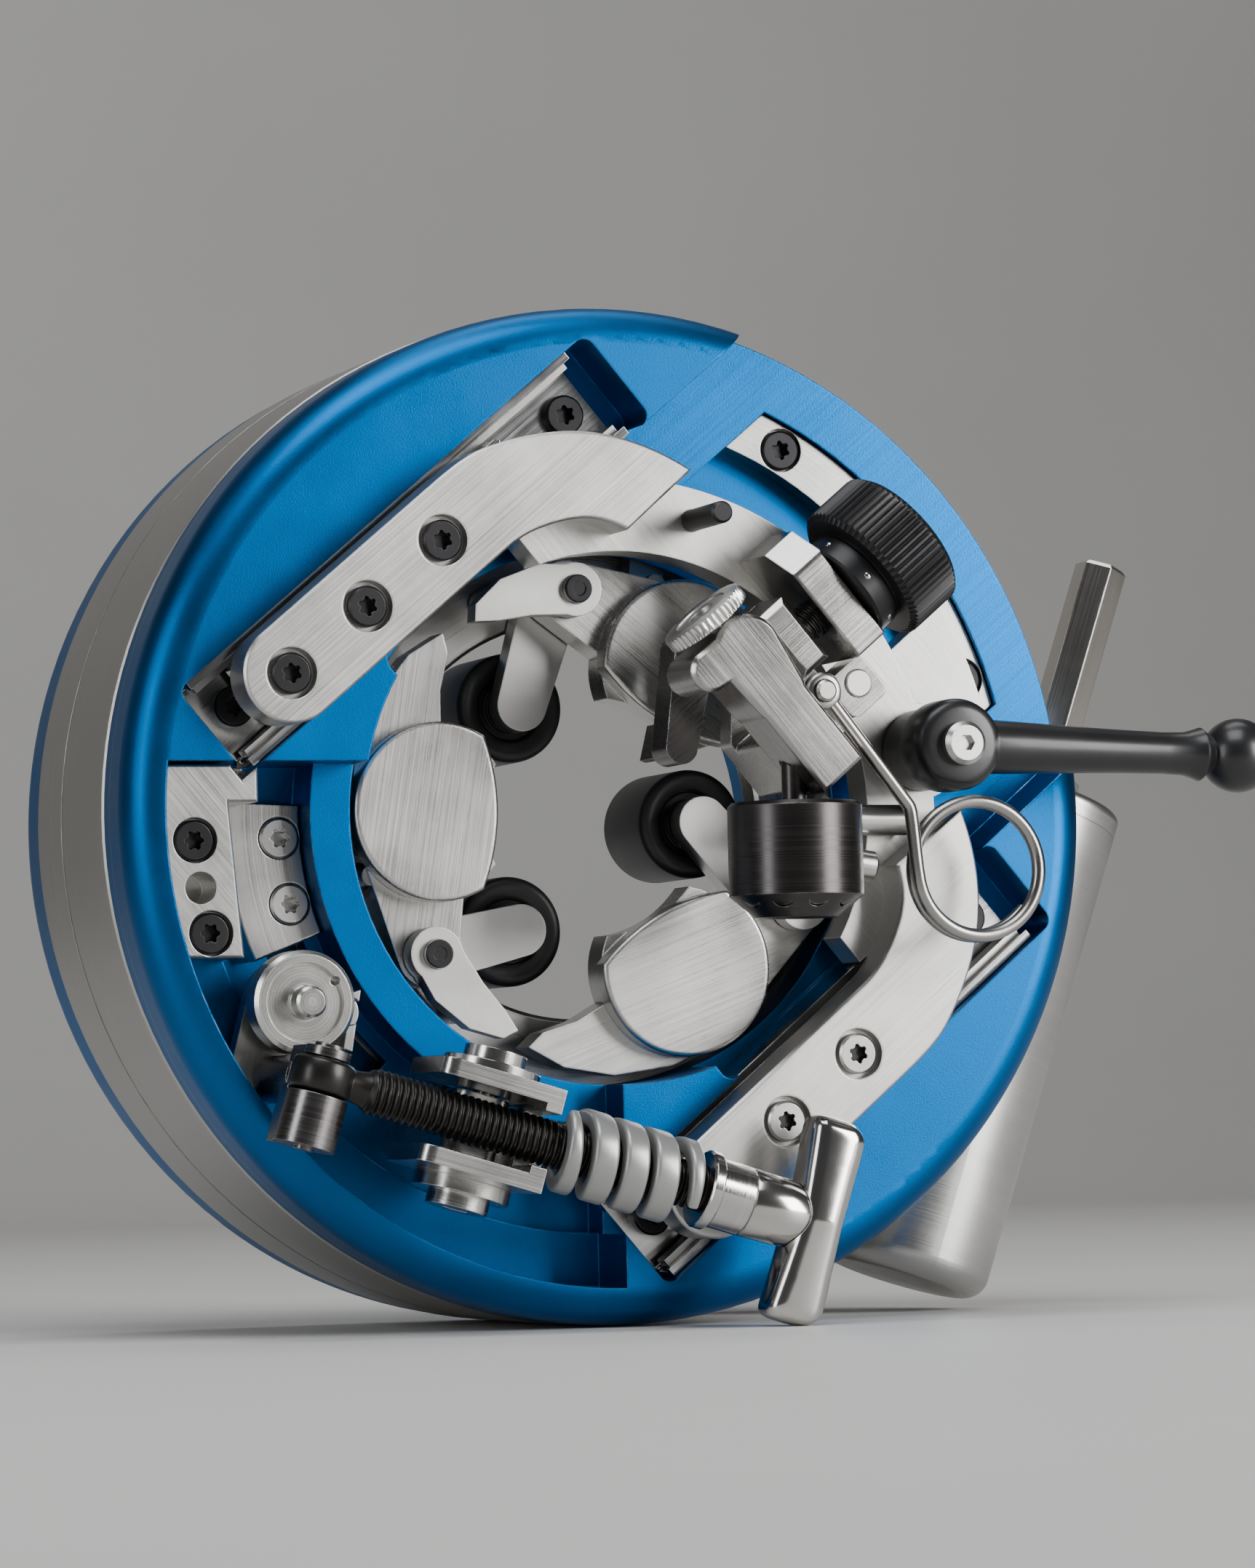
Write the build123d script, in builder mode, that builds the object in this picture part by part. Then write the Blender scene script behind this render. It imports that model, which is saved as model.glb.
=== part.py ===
from build123d import *
import os
from math import cos, sin, radians, pi, sqrt

os.makedirs("parts", exist_ok=True)

# Frame: +Z up, ring axis along +Y, origin on the axis at the raised front face, front toward -Y.
# ---------------------------------------------------------------- driving sizes, mm
ring_r = 105.0          # stator outside radius
rotor_gap = 0.3         # rotor flanges stand this far inside the stator outline
bore_r = 55.5           # clear bore of the rotor body
land_y = 14.5           # recessed land behind the raised face
flange_y = 18.4         # rear of the front flange
stator_len = 50.8       # stator ring length
rear_len = 15.2         # rear flange length
edge_r = 8.0            # rounded outer edges
axial_gap = 0.3         # rotor flange to stator face
stator_wall = 6.0       # stator ring wall
journal_r = 88.0        # bearing bore radius
journal_gap = 0.05      # running clearance in the bearings
bearing_len = 7.0
tooth_module = 2.0
teeth = 96
worm_pitch_r = 9.0
slide_deg = 40.0        # direction of the tool slide in the XZ plane
rail_q = 68.2           # rail centre line from the ring axis
rail_w = 21.6
rail_len = 107.0
arm_w = 20.0
arm_top = 11.0          # arm top in front of the raised face
arm_t = 9.6
screw_pitch = 21.0
jaw_pin_r = 47.0        # pivot circle of the jaws
jaw_disc_r = 18.4
jaw_disc_at = 36.0
jaw_first_deg = 178.6
roller_r = 11.5
bolt_r = 4.8            # swing bolt, M10 thread outside
feed_r = 4.0            # feed screw, M8
bolt_deg = -16.7
bolt_front = 22.0       # bolt axis in front of the raised face
spring_r = 9.0
knob_r = 16.0
knob_len = 13.4
run = 0.05              # running clearance, radius
fit = 0.3               # general clearance between moving pieces

# ---------------------------------------------------------------- derived sizes
rotor_r = ring_r - rotor_gap
stator_y0 = flange_y + axial_gap
stator_y1 = stator_y0 + stator_len
rear_y0 = stator_y1 + axial_gap
rear_y1 = rear_y0 + rear_len
stator_in = ring_r - stator_wall
inner_flange_r = stator_in - 0.4
hub_r = journal_r - journal_gap
worm_y = (stator_y0 + stator_y1) / 2 + 0.9
bear0_y = 26.3
bear1_y = rear_y0 - 6.5 - bearing_len
pitch_r = tooth_module * teeth / 2
worm_dist = pitch_r + worm_pitch_r
tip_r = pitch_r + tooth_module
root_r = pitch_r - 1.2 * tooth_module
worm_tip = worm_pitch_r + tooth_module
worm_root = worm_pitch_r - 1.2 * tooth_module
lead = pi * tooth_module
wheel_face = 8.0
wheel_in = 84.0
split_y = worm_y + wheel_face / 2
lever_y0 = -12.0


def front(y):
    return Plane(origin=(0, y, 0), x_dir=(1, 0, 0), z_dir=(0, -1, 0))


def turned(y, deg):
    d = radians(deg)
    return Plane(origin=(0, y, 0), x_dir=(cos(d), 0, sin(d)), z_dir=(0, -1, 0))


def slant(y):
    return turned(y, slide_deg)


def along(x, y, z, deg):
    d = radians(deg)
    return Plane(origin=(x, y, z), x_dir=(0, -1, 0), z_dir=(cos(d), 0, sin(d)))


def polar(r, deg):
    return (r * cos(radians(deg)), r * sin(radians(deg)))


def sq(s, q):
    d = radians(slide_deg)
    return (s * cos(d) - q * sin(d), s * sin(d) + q * cos(d))


def disc(plane, r, *points):
    with BuildSketch(plane) as made:
        with Locations(*(points or ((0, 0),))):
            Circle(r)
    return made.sketch


def ring(plane, r0, r1, *points):
    with BuildSketch(plane) as made:
        with Locations(*(points or ((0, 0),))):
            Circle(r1)
            Circle(r0, mode=Mode.SUBTRACT)
    return made.sketch


def rect(plane, x0, y0, x1, y1, r=0.0):
    with BuildSketch(plane) as made:
        with Locations(((x0 + x1) / 2, (y0 + y1) / 2)):
            if r:
                RectangleRounded(abs(x1 - x0), abs(y1 - y0), r)
            else:
                Rectangle(abs(x1 - x0), abs(y1 - y0))
    return made.sketch


def poly(plane, points, r=0.0):
    with BuildSketch(plane) as made:
        with BuildLine():
            Polyline(*points, close=True)
        make_face()
        if r:
            fillet(made.vertices(), r)
    return made.sketch


def hull(plane, circles):
    with BuildSketch(plane) as made:
        for x, y, r in circles:
            with Locations((x, y)):
                Circle(r)
        make_hull()
    return made.sketch


def hexagon(plane, across, *points):
    with BuildSketch(plane) as made:
        with Locations(*(points or ((0, 0),))):
            RegularPolygon(across / 2, 6, major_radius=False)
    return made.sketch


def sector(plane, r0, r1, a0, a1, far=200.0):
    mid = (a0 + a1) / 2
    with BuildSketch(plane) as made:
        Circle(r1)
        Circle(r0, mode=Mode.SUBTRACT)
        with BuildLine():
            Polyline((0, 0), polar(far, a0), polar(far, mid), polar(far, a1), close=True)
        make_face(mode=Mode.INTERSECT)
    return made.sketch


def low_head_screw(plane, length, points, head_r=4.15, head_h=2.6, shank_r=2.5):
    with BuildPart() as made:
        with Locations(plane):
            with Locations(*[(x, y, 0) for x, y in points]):
                Cylinder(shank_r, length, align=(Align.CENTER, Align.CENTER, Align.MAX))
                Cylinder(head_r, head_h, align=(Align.CENTER, Align.CENTER, Align.MIN))
        rims = made.edges().filter_by(GeomType.CIRCLE).filter_by(lambda e: abs(e.radius - head_r) < 1e-6)
        tops = [e for e in rims if abs(plane.to_local_coords(e.arc_center).Z - head_h) < 1e-6]
        chamfer(tops, 0.45)
        for x, y in points:
            at = plane.offset(head_h - 1.9)
            with BuildSketch(at):
                with Locations((x, y)):
                    Circle(1.55)
                    with PolarLocations(1.55, 6):
                        Circle(0.5)
            extrude(amount=4, mode=Mode.SUBTRACT)
    return made.part


def save(made, name):
    made.label = name
    export_step(made, "parts/" + name + ".step")


def save_group(name, *pieces):
    made = Compound([solid for piece in pieces for solid in piece.solids()])
    save(made, name)


# ================================================================ stator
axis_deg = 71.0
foot = polar(worm_dist, axis_deg - 90)
gear = along(foot[0], worm_y, foot[1], axis_deg)
house_r = 19.0
house_lo = -67.5
house_hi = 38.0
cap_hi = 43.0
worm_half = 4 * lead
race_w = 7.0
cavity_r = 12.6

with BuildPart() as stator_ring:
    extrude(ring(front(stator_y1), stator_in, ring_r), amount=stator_len)
    chamfer(stator_ring.edges().filter_by(GeomType.CIRCLE).filter_by(lambda e: e.radius > ring_r - 0.1),
        0.7)
    extrude(ring(front(stator_y1 - 19.0), ring_r - 0.5, ring_r + 1), amount=0.9, mode=Mode.SUBTRACT)
    extrude(disc(gear.offset(house_lo - 3), house_r), amount=cap_hi - house_lo + 6,
        mode=Mode.SUBTRACT)
save(stator_ring.part, "stator_ring")

with BuildPart() as bearing_rings:
    extrude(ring(front(bear0_y + bearing_len), journal_r, stator_in), amount=bearing_len)
    extrude(ring(front(bear1_y + bearing_len), journal_r, stator_in), amount=bearing_len)
    extrude(disc(gear.offset(house_lo - 3), house_r), amount=cap_hi - house_lo + 6, mode=Mode.SUBTRACT)

with BuildPart() as gearbox_housing:
    extrude(disc(gear.offset(house_lo), house_r), amount=house_hi - house_lo)
    fillet(gearbox_housing.edges().filter_by(GeomType.CIRCLE).sort_by(Axis(gear.origin, gear.z_dir))[0], 5)
    extrude(disc(gear.offset(-worm_half - race_w - 0.4), cavity_r),
        amount=house_hi + worm_half + race_w + 10, mode=Mode.SUBTRACT)
    extrude(disc(front(stator_y1 + 20), stator_in), amount=100, mode=Mode.SUBTRACT)
    extrude(disc(gear.offset(house_hi - 1), house_r - 3.2), amount=10, mode=Mode.SUBTRACT)
save(gearbox_housing.part, "gearbox_housing")

cap_bolts = [polar(14.6, 45 + 90 * k) for k in range(4)]
with BuildPart() as gearbox_cap:
    extrude(disc(gear.offset(house_hi), house_r), amount=cap_hi - house_hi)
    fillet(gearbox_cap.edges().filter_by(GeomType.CIRCLE).sort_by(Axis(gear.origin, gear.z_dir))[-1], 2.2)
    extrude(disc(gear.offset(cap_hi), 8.6), amount=4.0)
    extrude(disc(gear.offset(house_hi - 1), 5.6), amount=30, mode=Mode.SUBTRACT)
    extrude(disc(gear.offset(cap_hi - 3.2), 3.3, *cap_bolts), amount=10, mode=Mode.SUBTRACT)
    extrude(disc(gear.offset(house_hi - 1), 1.6, *cap_bolts), amount=10, mode=Mode.SUBTRACT)
    extrude(disc(front(stator_y1 + 20), stator_in), amount=100, mode=Mode.SUBTRACT)
save(gearbox_cap.part, "gearbox_cap")

with BuildPart() as gearbox_bearings:
    extrude(ring(gear.offset(-worm_half - race_w - 0.2), 5.0 + run, cavity_r), amount=race_w)
    extrude(ring(gear.offset(worm_half + 0.2), 5.0 + run, cavity_r), amount=race_w)
    extrude(disc(front(stator_y1 + 20), stator_in), amount=100, mode=Mode.SUBTRACT)
save_group("bearings", bearing_rings.part, gearbox_bearings.part)

with BuildPart() as gearbox_screws:
    with Locations(gear.offset(cap_hi - 3.2)):
        with Locations(*[(x, y, 0) for x, y in cap_bolts]):
            Cylinder(2.8, 2.9, align=(Align.CENTER, Align.CENTER, Align.MIN))
    extrude(hexagon(gear.offset(cap_hi - 1.6), 2.5, *cap_bolts), amount=3, mode=Mode.SUBTRACT)
save(gearbox_screws.part, "gearbox_screws")

# ================================================================ worm and hex drive
tooth_half = lead / 4
inward = Plane(origin=gear.origin, x_dir=(-cos(radians(axis_deg - 90)), 0,
    -sin(radians(axis_deg - 90))), z_dir=gear.z_dir)
thread_h = worm_tip - worm_root + 0.2
with BuildPart() as thread:
    with BuildLine() as guide:
        Helix(lead, 6 * lead, worm_root - 0.2)
    with BuildSketch(Plane(origin=guide.line @ 0, x_dir=(1, 0, 0), z_dir=guide.line % 0)):
        with BuildLine():
            Polyline((0, -2.2), (0, 2.2), (thread_h, 0.62), (thread_h, -0.62), close=True)
        make_face()
    sweep(path=guide.line, is_frenet=True)

with BuildPart() as worm:
    extrude(disc(gear.offset(-worm_half), worm_root), amount=2 * worm_half)
    add(thread.part.moved(inward.offset(-3 * lead).location))
    extrude(disc(gear.offset(-worm_half - 2), 4.4), amount=2 * worm_half + 4, mode=Mode.SUBTRACT)
save(worm.part, "worm")

hex_across = 9.8
hex_hi = 96.0
with BuildPart() as drive_shaft:
    extrude(disc(gear.offset(-worm_half - race_w - 0.2), 5.0), amount=race_w + 0.2)
    extrude(disc(gear.offset(-worm_half), 4.4), amount=2 * worm_half)
    extrude(disc(gear.offset(worm_half), 5.0), amount=cap_hi + 6 - worm_half)
    extrude(hexagon(gear.offset(cap_hi + 6), hex_across), amount=hex_hi - cap_hi - 6)
    chamfer(drive_shaft.faces().sort_by(Axis(gear.origin, gear.z_dir))[-1].edges(), 0.8)
save(drive_shaft.part, "drive_shaft")

# ================================================================ rotor bodies
hand_z = 10.5           # lower edge of the upper raised plate, left side
hand_x = -1.5           # left edge of the lower raised plate
pocket_q0 = rail_q - rail_w / 2 - 0.2
pocket_q1 = rail_q + rail_w / 2 + 0.2
rail_floor = 13.6
pocket_s0 = -rail_len / 2 - 3.0
pocket_s1 = rail_len / 2 + 5.0
rim_in = 97.0
crescent_r = 64.0
window_q = 40.0
window_r = 93.5
deep_y = 22.0
far = 130.0

with BuildPart() as front_body:
    extrude(disc(front(flange_y), rotor_r), amount=flange_y)
    fillet(front_body.edges().filter_by(GeomType.CIRCLE).sort_by(Axis.Y)[0], edge_r)
    extrude(disc(front(bear0_y - fit), inner_flange_r), amount=bear0_y - fit - flange_y)
    extrude(disc(front(split_y - wheel_face), hub_r), amount=split_y - wheel_face - bear0_y + fit)
    extrude(disc(front(split_y), wheel_in), amount=wheel_face)
    # land between the rails
    extrude(rect(slant(land_y), -19.0, -pocket_q0, far, pocket_q0, 3.0), amount=40, mode=Mode.SUBTRACT)
    # rail pockets
    extrude(rect(slant(rail_floor), pocket_s0, pocket_q0, pocket_s1, pocket_q1, 2.6), amount=40,
        mode=Mode.SUBTRACT)
    extrude(rect(slant(rail_floor), pocket_s0, -pocket_q1, pocket_s1, -pocket_q0, 2.6), amount=40,
        mode=Mode.SUBTRACT)
    # pocket for the clamp mechanism, behind a rim
    corner = [(-far, hand_z), (-30, hand_z), (-30, -30), (hand_x, -30), (hand_x, -far), (-far, -far)]
    with BuildSketch(front(16.4)):
        Circle(rim_in)
        Circle(crescent_r, mode=Mode.SUBTRACT)
        with BuildLine():
            Polyline(*corner, close=True)
        make_face(mode=Mode.INTERSECT)
    extrude(amount=40, mode=Mode.SUBTRACT)
    with BuildSketch(front(deep_y)):
        Circle(86.0)
        Circle(crescent_r, mode=Mode.SUBTRACT)
        with BuildLine():
            Polyline(*[(x - 0.0, z) for x, z in corner], close=True)
        make_face(mode=Mode.INTERSECT)
    extrude(amount=40, mode=Mode.SUBTRACT)
    with BuildSketch(front(10.0)):
        Circle(crescent_r + 1)
        with BuildLine():
            Polyline(*corner, close=True)
        make_face(mode=Mode.INTERSECT)
    extrude(amount=40, mode=Mode.SUBTRACT)
    # window of the tool slide
    with BuildSketch(slant(deep_y)):
        Circle(window_r)
        with Locations((60, 0)):
            Rectangle(120, 2 * window_q, mode=Mode.INTERSECT)
    extrude(amount=40, mode=Mode.SUBTRACT)
    # bore and the groove of the cam ring behind it
    extrude(disc(front(split_y + 1), bore_r), amount=80, mode=Mode.SUBTRACT)
    extrude(disc(front(split_y + 1), 66.4), amount=split_y + 1 - 23.9, mode=Mode.SUBTRACT)
    extrude(sector(front(30.2), 60.0, 76.0, 196, 232), amount=30.2 - 23.9, mode=Mode.SUBTRACT)
    extrude(sector(front(24.4), 67.0, 75.5, 200, 228), amount=4, mode=Mode.SUBTRACT)
save(front_body.part, "front_body")

with BuildPart() as rear_ring:
    extrude(disc(front(rear_y1), rotor_r), amount=rear_len)
    fillet(rear_ring.edges().filter_by(GeomType.CIRCLE).sort_by(Axis.Y)[-1], edge_r)
    extrude(disc(front(rear_y0), inner_flange_r), amount=rear_y0 - bear1_y - bearing_len - fit)
    extrude(disc(front(bear1_y + bearing_len + fit), hub_r), amount=bear1_y + bearing_len + fit - split_y)
    extrude(disc(front(rear_y1 + 1), 57.0), amount=80, mode=Mode.SUBTRACT)
    extrude(disc(front(rear_y1 + 1), 62.0), amount=5, mode=Mode.SUBTRACT)
    extrude(disc(front(rear_y1 + 1), 4.6, *[polar(80, 60 * k + 10) for k in range(6)]), amount=6.2,
        mode=Mode.SUBTRACT)
    extrude(disc(front(rear_y1 + 1), 2.6, *[polar(80, 60 * k + 10) for k in range(6)]), amount=80,
        mode=Mode.SUBTRACT)
save(rear_ring.part, "rear_ring")

rear_plane = Plane(origin=(0, rear_y1 - 5.2, 0), x_dir=(-1, 0, 0), z_dir=(0, 1, 0))
rear_points = [(-polar(80, 60 * k + 10)[0], polar(80, 60 * k + 10)[1]) for k in range(6)]
rear_screws = low_head_screw(rear_plane, 28.0, rear_points)

lead_tilt = 180 / pi * (lead / (2 * pi)) / worm_pitch_r
with BuildPart() as gash:
    half_root = lead / 4 - 0.15
    grow = 0.36397
    low = half_root - grow * (pitch_r - root_r) + 0.2
    high = half_root + grow * (tip_r + 0.6 - pitch_r) + 0.45
    with BuildSketch(front(wheel_face)):
        with BuildLine():
            Polyline((root_r, -low), (root_r, low), (tip_r + 0.6, high), (tip_r + 0.6, -high), close=True)
        make_face()
    extrude(amount=2 * wheel_face)
tilted = gash.part.rotate(Axis((0, 0, 0), (1, 0, 0)), -lead_tilt)
with BuildPart() as worm_wheel:
    extrude(ring(front(split_y), wheel_in, tip_r), amount=wheel_face)
    chamfer(worm_wheel.edges().filter_by(GeomType.CIRCLE).filter_by(lambda e: e.radius > tip_r - 0.1), 0.5)
    cutters = [tilted.moved(Location((0, split_y - wheel_face / 2, 0))).rotate(Axis((0, 0, 0),
        (0, -1, 0)), axis_deg - 90 + k * 360 / teeth) for k in range(teeth)]
    add(cutters, mode=Mode.SUBTRACT)
save(worm_wheel.part, "worm_wheel")

web_y0 = 30.3
web_in = 41.5
pivots = [polar(jaw_pin_r, jaw_first_deg + 38.4 + 120 * k) for k in range(3)]
with BuildPart() as jaw_carrier:
    extrude(ring(front(web_y0 + 7.7), web_in, 66.4), amount=7.7)
    extrude(disc(front(web_y0 + 9), 3.0, *pivots), amount=20, mode=Mode.SUBTRACT)
    inner = jaw_carrier.edges().filter_by(GeomType.CIRCLE).filter_by(lambda e: abs(e.radius - web_in) < 0.1)
    chamfer(inner, 0.8)

with BuildPart() as jaw_pins:
    extrude(disc(front(web_y0 + 7.7), 3.0, *pivots), amount=web_y0 + 7.7 - 8.6)
    extrude(disc(front(8.6), 2.0, *pivots), amount=0.5)
    extrude(hexagon(front(9.8), 2.5, *pivots), amount=3, mode=Mode.SUBTRACT)
save_group("jaw_carrier", jaw_carrier.part, jaw_pins.part)

# rails: one C-channel each side, with a ball strip along each wall
rail_h = 11.0
rail_wall = 1.8


def channel(q):
    with BuildPart() as made:
        extrude(rect(slant(rail_floor), -rail_len / 2, q - rail_w / 2, rail_len / 2, q + rail_w / 2),
            amount=rail_h)
        extrude(rect(slant(rail_floor - 2.6), -rail_len, q - rail_w / 2 + rail_wall, rail_len,
            q + rail_w / 2 - rail_wall), amount=rail_h, mode=Mode.SUBTRACT)
        extrude(rect(slant(rail_floor - 4.6), -rail_len, q - rail_w / 2 + 1.0, rail_len,
            q + rail_w / 2 - 1.0), amount=4.4, mode=Mode.SUBTRACT)
        ends = [(-rail_len / 2 + 6.5, q), (rail_len / 2 - 6.2, q)]
        extrude(disc(slant(rail_floor + 1), 2.7, *ends), amount=10, mode=Mode.SUBTRACT)
    return made.part


save_group("rails", channel(rail_q), channel(-rail_q))
floor_screws = [(-rail_len / 2 + 6.5, rail_q), (rail_len / 2 - 6.2, rail_q),
    (-rail_len / 2 + 6.5, -rail_q), (rail_len / 2 - 6.2, -rail_q)]
rail_screws = low_head_screw(slant(rail_floor - 2.6), 2.6, floor_screws, head_h=2.2)

slider_half = 7.2
with BuildPart() as ball_strips:
    for side in (rail_q, -rail_q):
        for wall in (-1, 1):
            q_out = side + wall * (rail_w / 2 - rail_wall)
            q_in = side + wall * (slider_half + fit)
            extrude(rect(slant(rail_floor - 4.7), -rail_len / 2 + 1, q_in, rail_len / 2 - 1, q_out),
                amount=4.2)
            with Locations(slant(rail_floor - 6.8)):
                with Locations(*[(wall * 0 + s, q_out - wall * 0.2, 0) for s in (-50, -46.5, -43, 43,
                    46.5, 50)]):
                    Sphere(1.0)
save(ball_strips.part, "ball_strips")

# window plate (outer arc), with three screws
window_pts = [(82.6, 31.4), (88.4, 0.0), (82.6, -31.4)]
with BuildPart() as window_plate:
    with BuildSketch(slant(deep_y)):
        Circle(window_r - 0.3)
        Circle(83.5, mode=Mode.SUBTRACT)
        with Locations((60, 0)):
            Rectangle(120, 2 * window_q - 0.6, mode=Mode.INTERSECT)
    extrude(amount=6.0)
    extrude(disc(slant(deep_y - 3.4), 4.6, *window_pts), amount=10, mode=Mode.SUBTRACT)
    extrude(disc(slant(deep_y + 1), 2.5, *window_pts), amount=20, mode=Mode.SUBTRACT)
window_screws = low_head_screw(slant(deep_y - 3.4), 3.3, window_pts)

# side block and trench plate
block_pts = [(-90.3, -5.3), (-87.3, -23.9)]
with BuildPart() as side_block:
    with BuildSketch(front(16.4)):
        with BuildLine():
            Polyline((-99, 9.9), (-77, 9.9), (-77, 2.4), (-83.2, 2.4), (-80.4, -28.8), (-99, -28.8),
                close=True)
        make_face()
        Circle(rim_in - 0.3, mode=Mode.INTERSECT)
    extrude(amount=13.6)
    extrude(rect(slant(rail_floor + 0.5), pocket_s0 - 0.5, pocket_q0 - 0.5, 0, pocket_q1), amount=40,
        mode=Mode.SUBTRACT)
    chamfer(side_block.faces().sort_by(Axis.Y)[0].edges(), 0.5)
    extrude(disc(front(6.0), 4.6, *block_pts), amount=10, mode=Mode.SUBTRACT)
    extrude(disc(front(17), 2.5, *block_pts), amount=20, mode=Mode.SUBTRACT)
    extrude(disc(front(13), 3.25, (-89.3, -14.8)), amount=20, mode=Mode.SUBTRACT)
save(side_block.part, "side_block")
block_screws = low_head_screw(front(6.0), 10.3, block_pts)
save_group("black_screws", rear_screws, rail_screws, window_screws, block_screws)

trench_pts = [(-68.6, -4.2), (-66.6, -17.6)]
with BuildPart() as trench_plate:
    extrude(sector(front(deep_y), 64.2, 79.6, 177.6, 201.5), amount=5.3)
    chamfer(trench_plate.faces().sort_by(Axis.Y)[0].edges(), 0.4)
    extrude(disc(front(deep_y - 3.2), 4.4, *trench_pts), amount=10, mode=Mode.SUBTRACT)
    extrude(disc(front(deep_y + 1), 2.5, *trench_pts), amount=20, mode=Mode.SUBTRACT)
save_group("arc_plates", window_plate.part, trench_plate.part)
save(low_head_screw(front(deep_y - 3.2), 3.1, trench_pts), "trench_screws")

# ================================================================ cam ring and crank
eye = (-72.65, -53.2)
eye_r = 6.4
cam_y1 = 30.0
cam_t = 5.7
lug_deg = 15.0
crank_y = 13.0
crank_t = 4.0
knob_at = (-69.3, -38.0)
post_at = polar(71.2, 214.0)

with BuildPart() as cam_ring:
    extrude(ring(front(cam_y1), 57.2, 66.0), amount=cam_t)
    for k in range(3):
        lug = polar(50.6, jaw_first_deg + lug_deg + 120 * k)
        base = polar(60.0, jaw_first_deg + lug_deg + 120 * k)
        extrude(hull(front(cam_y1), [(lug[0], lug[1], 3.0), (base[0], base[1], 5.0)]), amount=cam_t)
        extrude(disc(front(cam_y1 - 1), 2.1, lug), amount=cam_y1 - 17.0)
    ear = polar(63.0, 214.0)
    extrude(hull(front(cam_y1), [(ear[0], ear[1], 8.0), (post_at[0], post_at[1], 3.6)]), amount=cam_t)
    extrude(disc(front(cam_y1 - 1), 3.0, post_at), amount=cam_y1 - 1 - crank_y)
save(cam_ring.part, "cam_ring")

bolt_dir = radians(bolt_deg)
bolt = Plane(origin=(eye[0], -bolt_front, eye[1]), x_dir=(cos(bolt_dir), 0, sin(bolt_dir)),
    z_dir=(0, -1, 0))


def bolt_at(t, c=0.0):
    return (eye[0] + t * cos(bolt_dir) - c * sin(bolt_dir), eye[1] + t * sin(bolt_dir) + c * cos(bolt_dir))


def bolt_axis(t, c=0.0, y=-bolt_front):
    x, z = bolt_at(t, c)
    return along(x, y, z, bolt_deg)


def cross_axis(t, c, y=-bolt_front):
    x, z = bolt_at(t, c)
    return along(x, y, z, bolt_deg + 90)


with BuildPart() as crank_plate:
    low_point = (-77.5, -49.5)
    outline = [(knob_at[0], knob_at[1], 9.0), (post_at[0], post_at[1], 4.2), (eye[0], eye[1], 4.8),
        (low_point[0], low_point[1], 4.0)]
    extrude(hull(front(crank_y), outline), amount=crank_t)
    extrude(poly(front(crank_y), [(-66, -30), (-56.5, -35.5), (-58.5, -48.0), (-68, -52)], 1.2),
        amount=crank_t)
    extrude(poly(front(crank_y), [(-58.2, -36.2), (-56.4, -35.6), (-58.4, -47.9), (-60.2, -47.2)]),
        amount=crank_t + 6.5)
    extrude(disc(front(crank_y + 1), 3.0, post_at), amount=20, mode=Mode.SUBTRACT)
    extrude(disc(front(crank_y + 1), 4.0, knob_at), amount=20, mode=Mode.SUBTRACT)
save(crank_plate.part, "crank_plate")

with BuildPart() as crank_knob:
    extrude(disc(front(crank_y), 4.0, knob_at), amount=crank_t)
    extrude(disc(front(crank_y - crank_t), 5.6, knob_at), amount=4.2)
    extrude(disc(front(crank_y - crank_t - 4.2), 10.5, knob_at), amount=6.4)
    chamfer(crank_knob.faces().sort_by(Axis.Y)[0].edges(), 0.8)
    extrude(ring(front(crank_y - crank_t - 4.2 - 5.6), 3.4, 8.0, knob_at), amount=10, mode=Mode.SUBTRACT)
    extrude(disc(front(crank_y - crank_t - 10.6), 3.2, knob_at), amount=4.6)
    chamfer(crank_knob.faces().sort_by(Axis.Y)[0].edges(), 0.6)
    extrude(disc(front(crank_y - crank_t - 7), 0.9, (knob_at[0] + 6.4, knob_at[1] + 4.2)), amount=20,
        mode=Mode.SUBTRACT)
save(crank_knob.part, "crank_knob")

clevis_gap = 3.8
with BuildPart() as eye_clevis:
    extrude(disc(front(crank_y - crank_t), 4.8, eye), amount=crank_y - crank_t + bolt_front - eye_r - 2.2)
    extrude(rect(bolt.offset(-eye_r - 4.2), -4.2, -11.5, 4.2, clevis_gap + 1.8), amount=3.4)
    extrude(disc(cross_axis(0, -14.2), 6.2), amount=14.2 - clevis_gap)
    extrude(disc(cross_axis(0, clevis_gap), 4.6), amount=1.8)
    extrude(rect(bolt.offset(-eye_r - 4.2), -4.6, -14.0, 4.6, -clevis_gap), amount=eye_r + 4.2)
    extrude(rect(bolt.offset(-eye_r - 4.2), -4.2, clevis_gap, 4.2, clevis_gap + 1.8), amount=eye_r + 4.2)
    extrude(disc(cross_axis(0, -15), 2.0), amount=30, mode=Mode.SUBTRACT)

with BuildPart() as eye_pin:
    extrude(disc(cross_axis(0, -14.8), 2.0), amount=14.8 + clevis_gap + 1.8)
    extrude(disc(cross_axis(0, clevis_gap + 1.8), 3.0), amount=0.9)
save_group("eye_clevis", eye_clevis.part, eye_pin.part)

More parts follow.
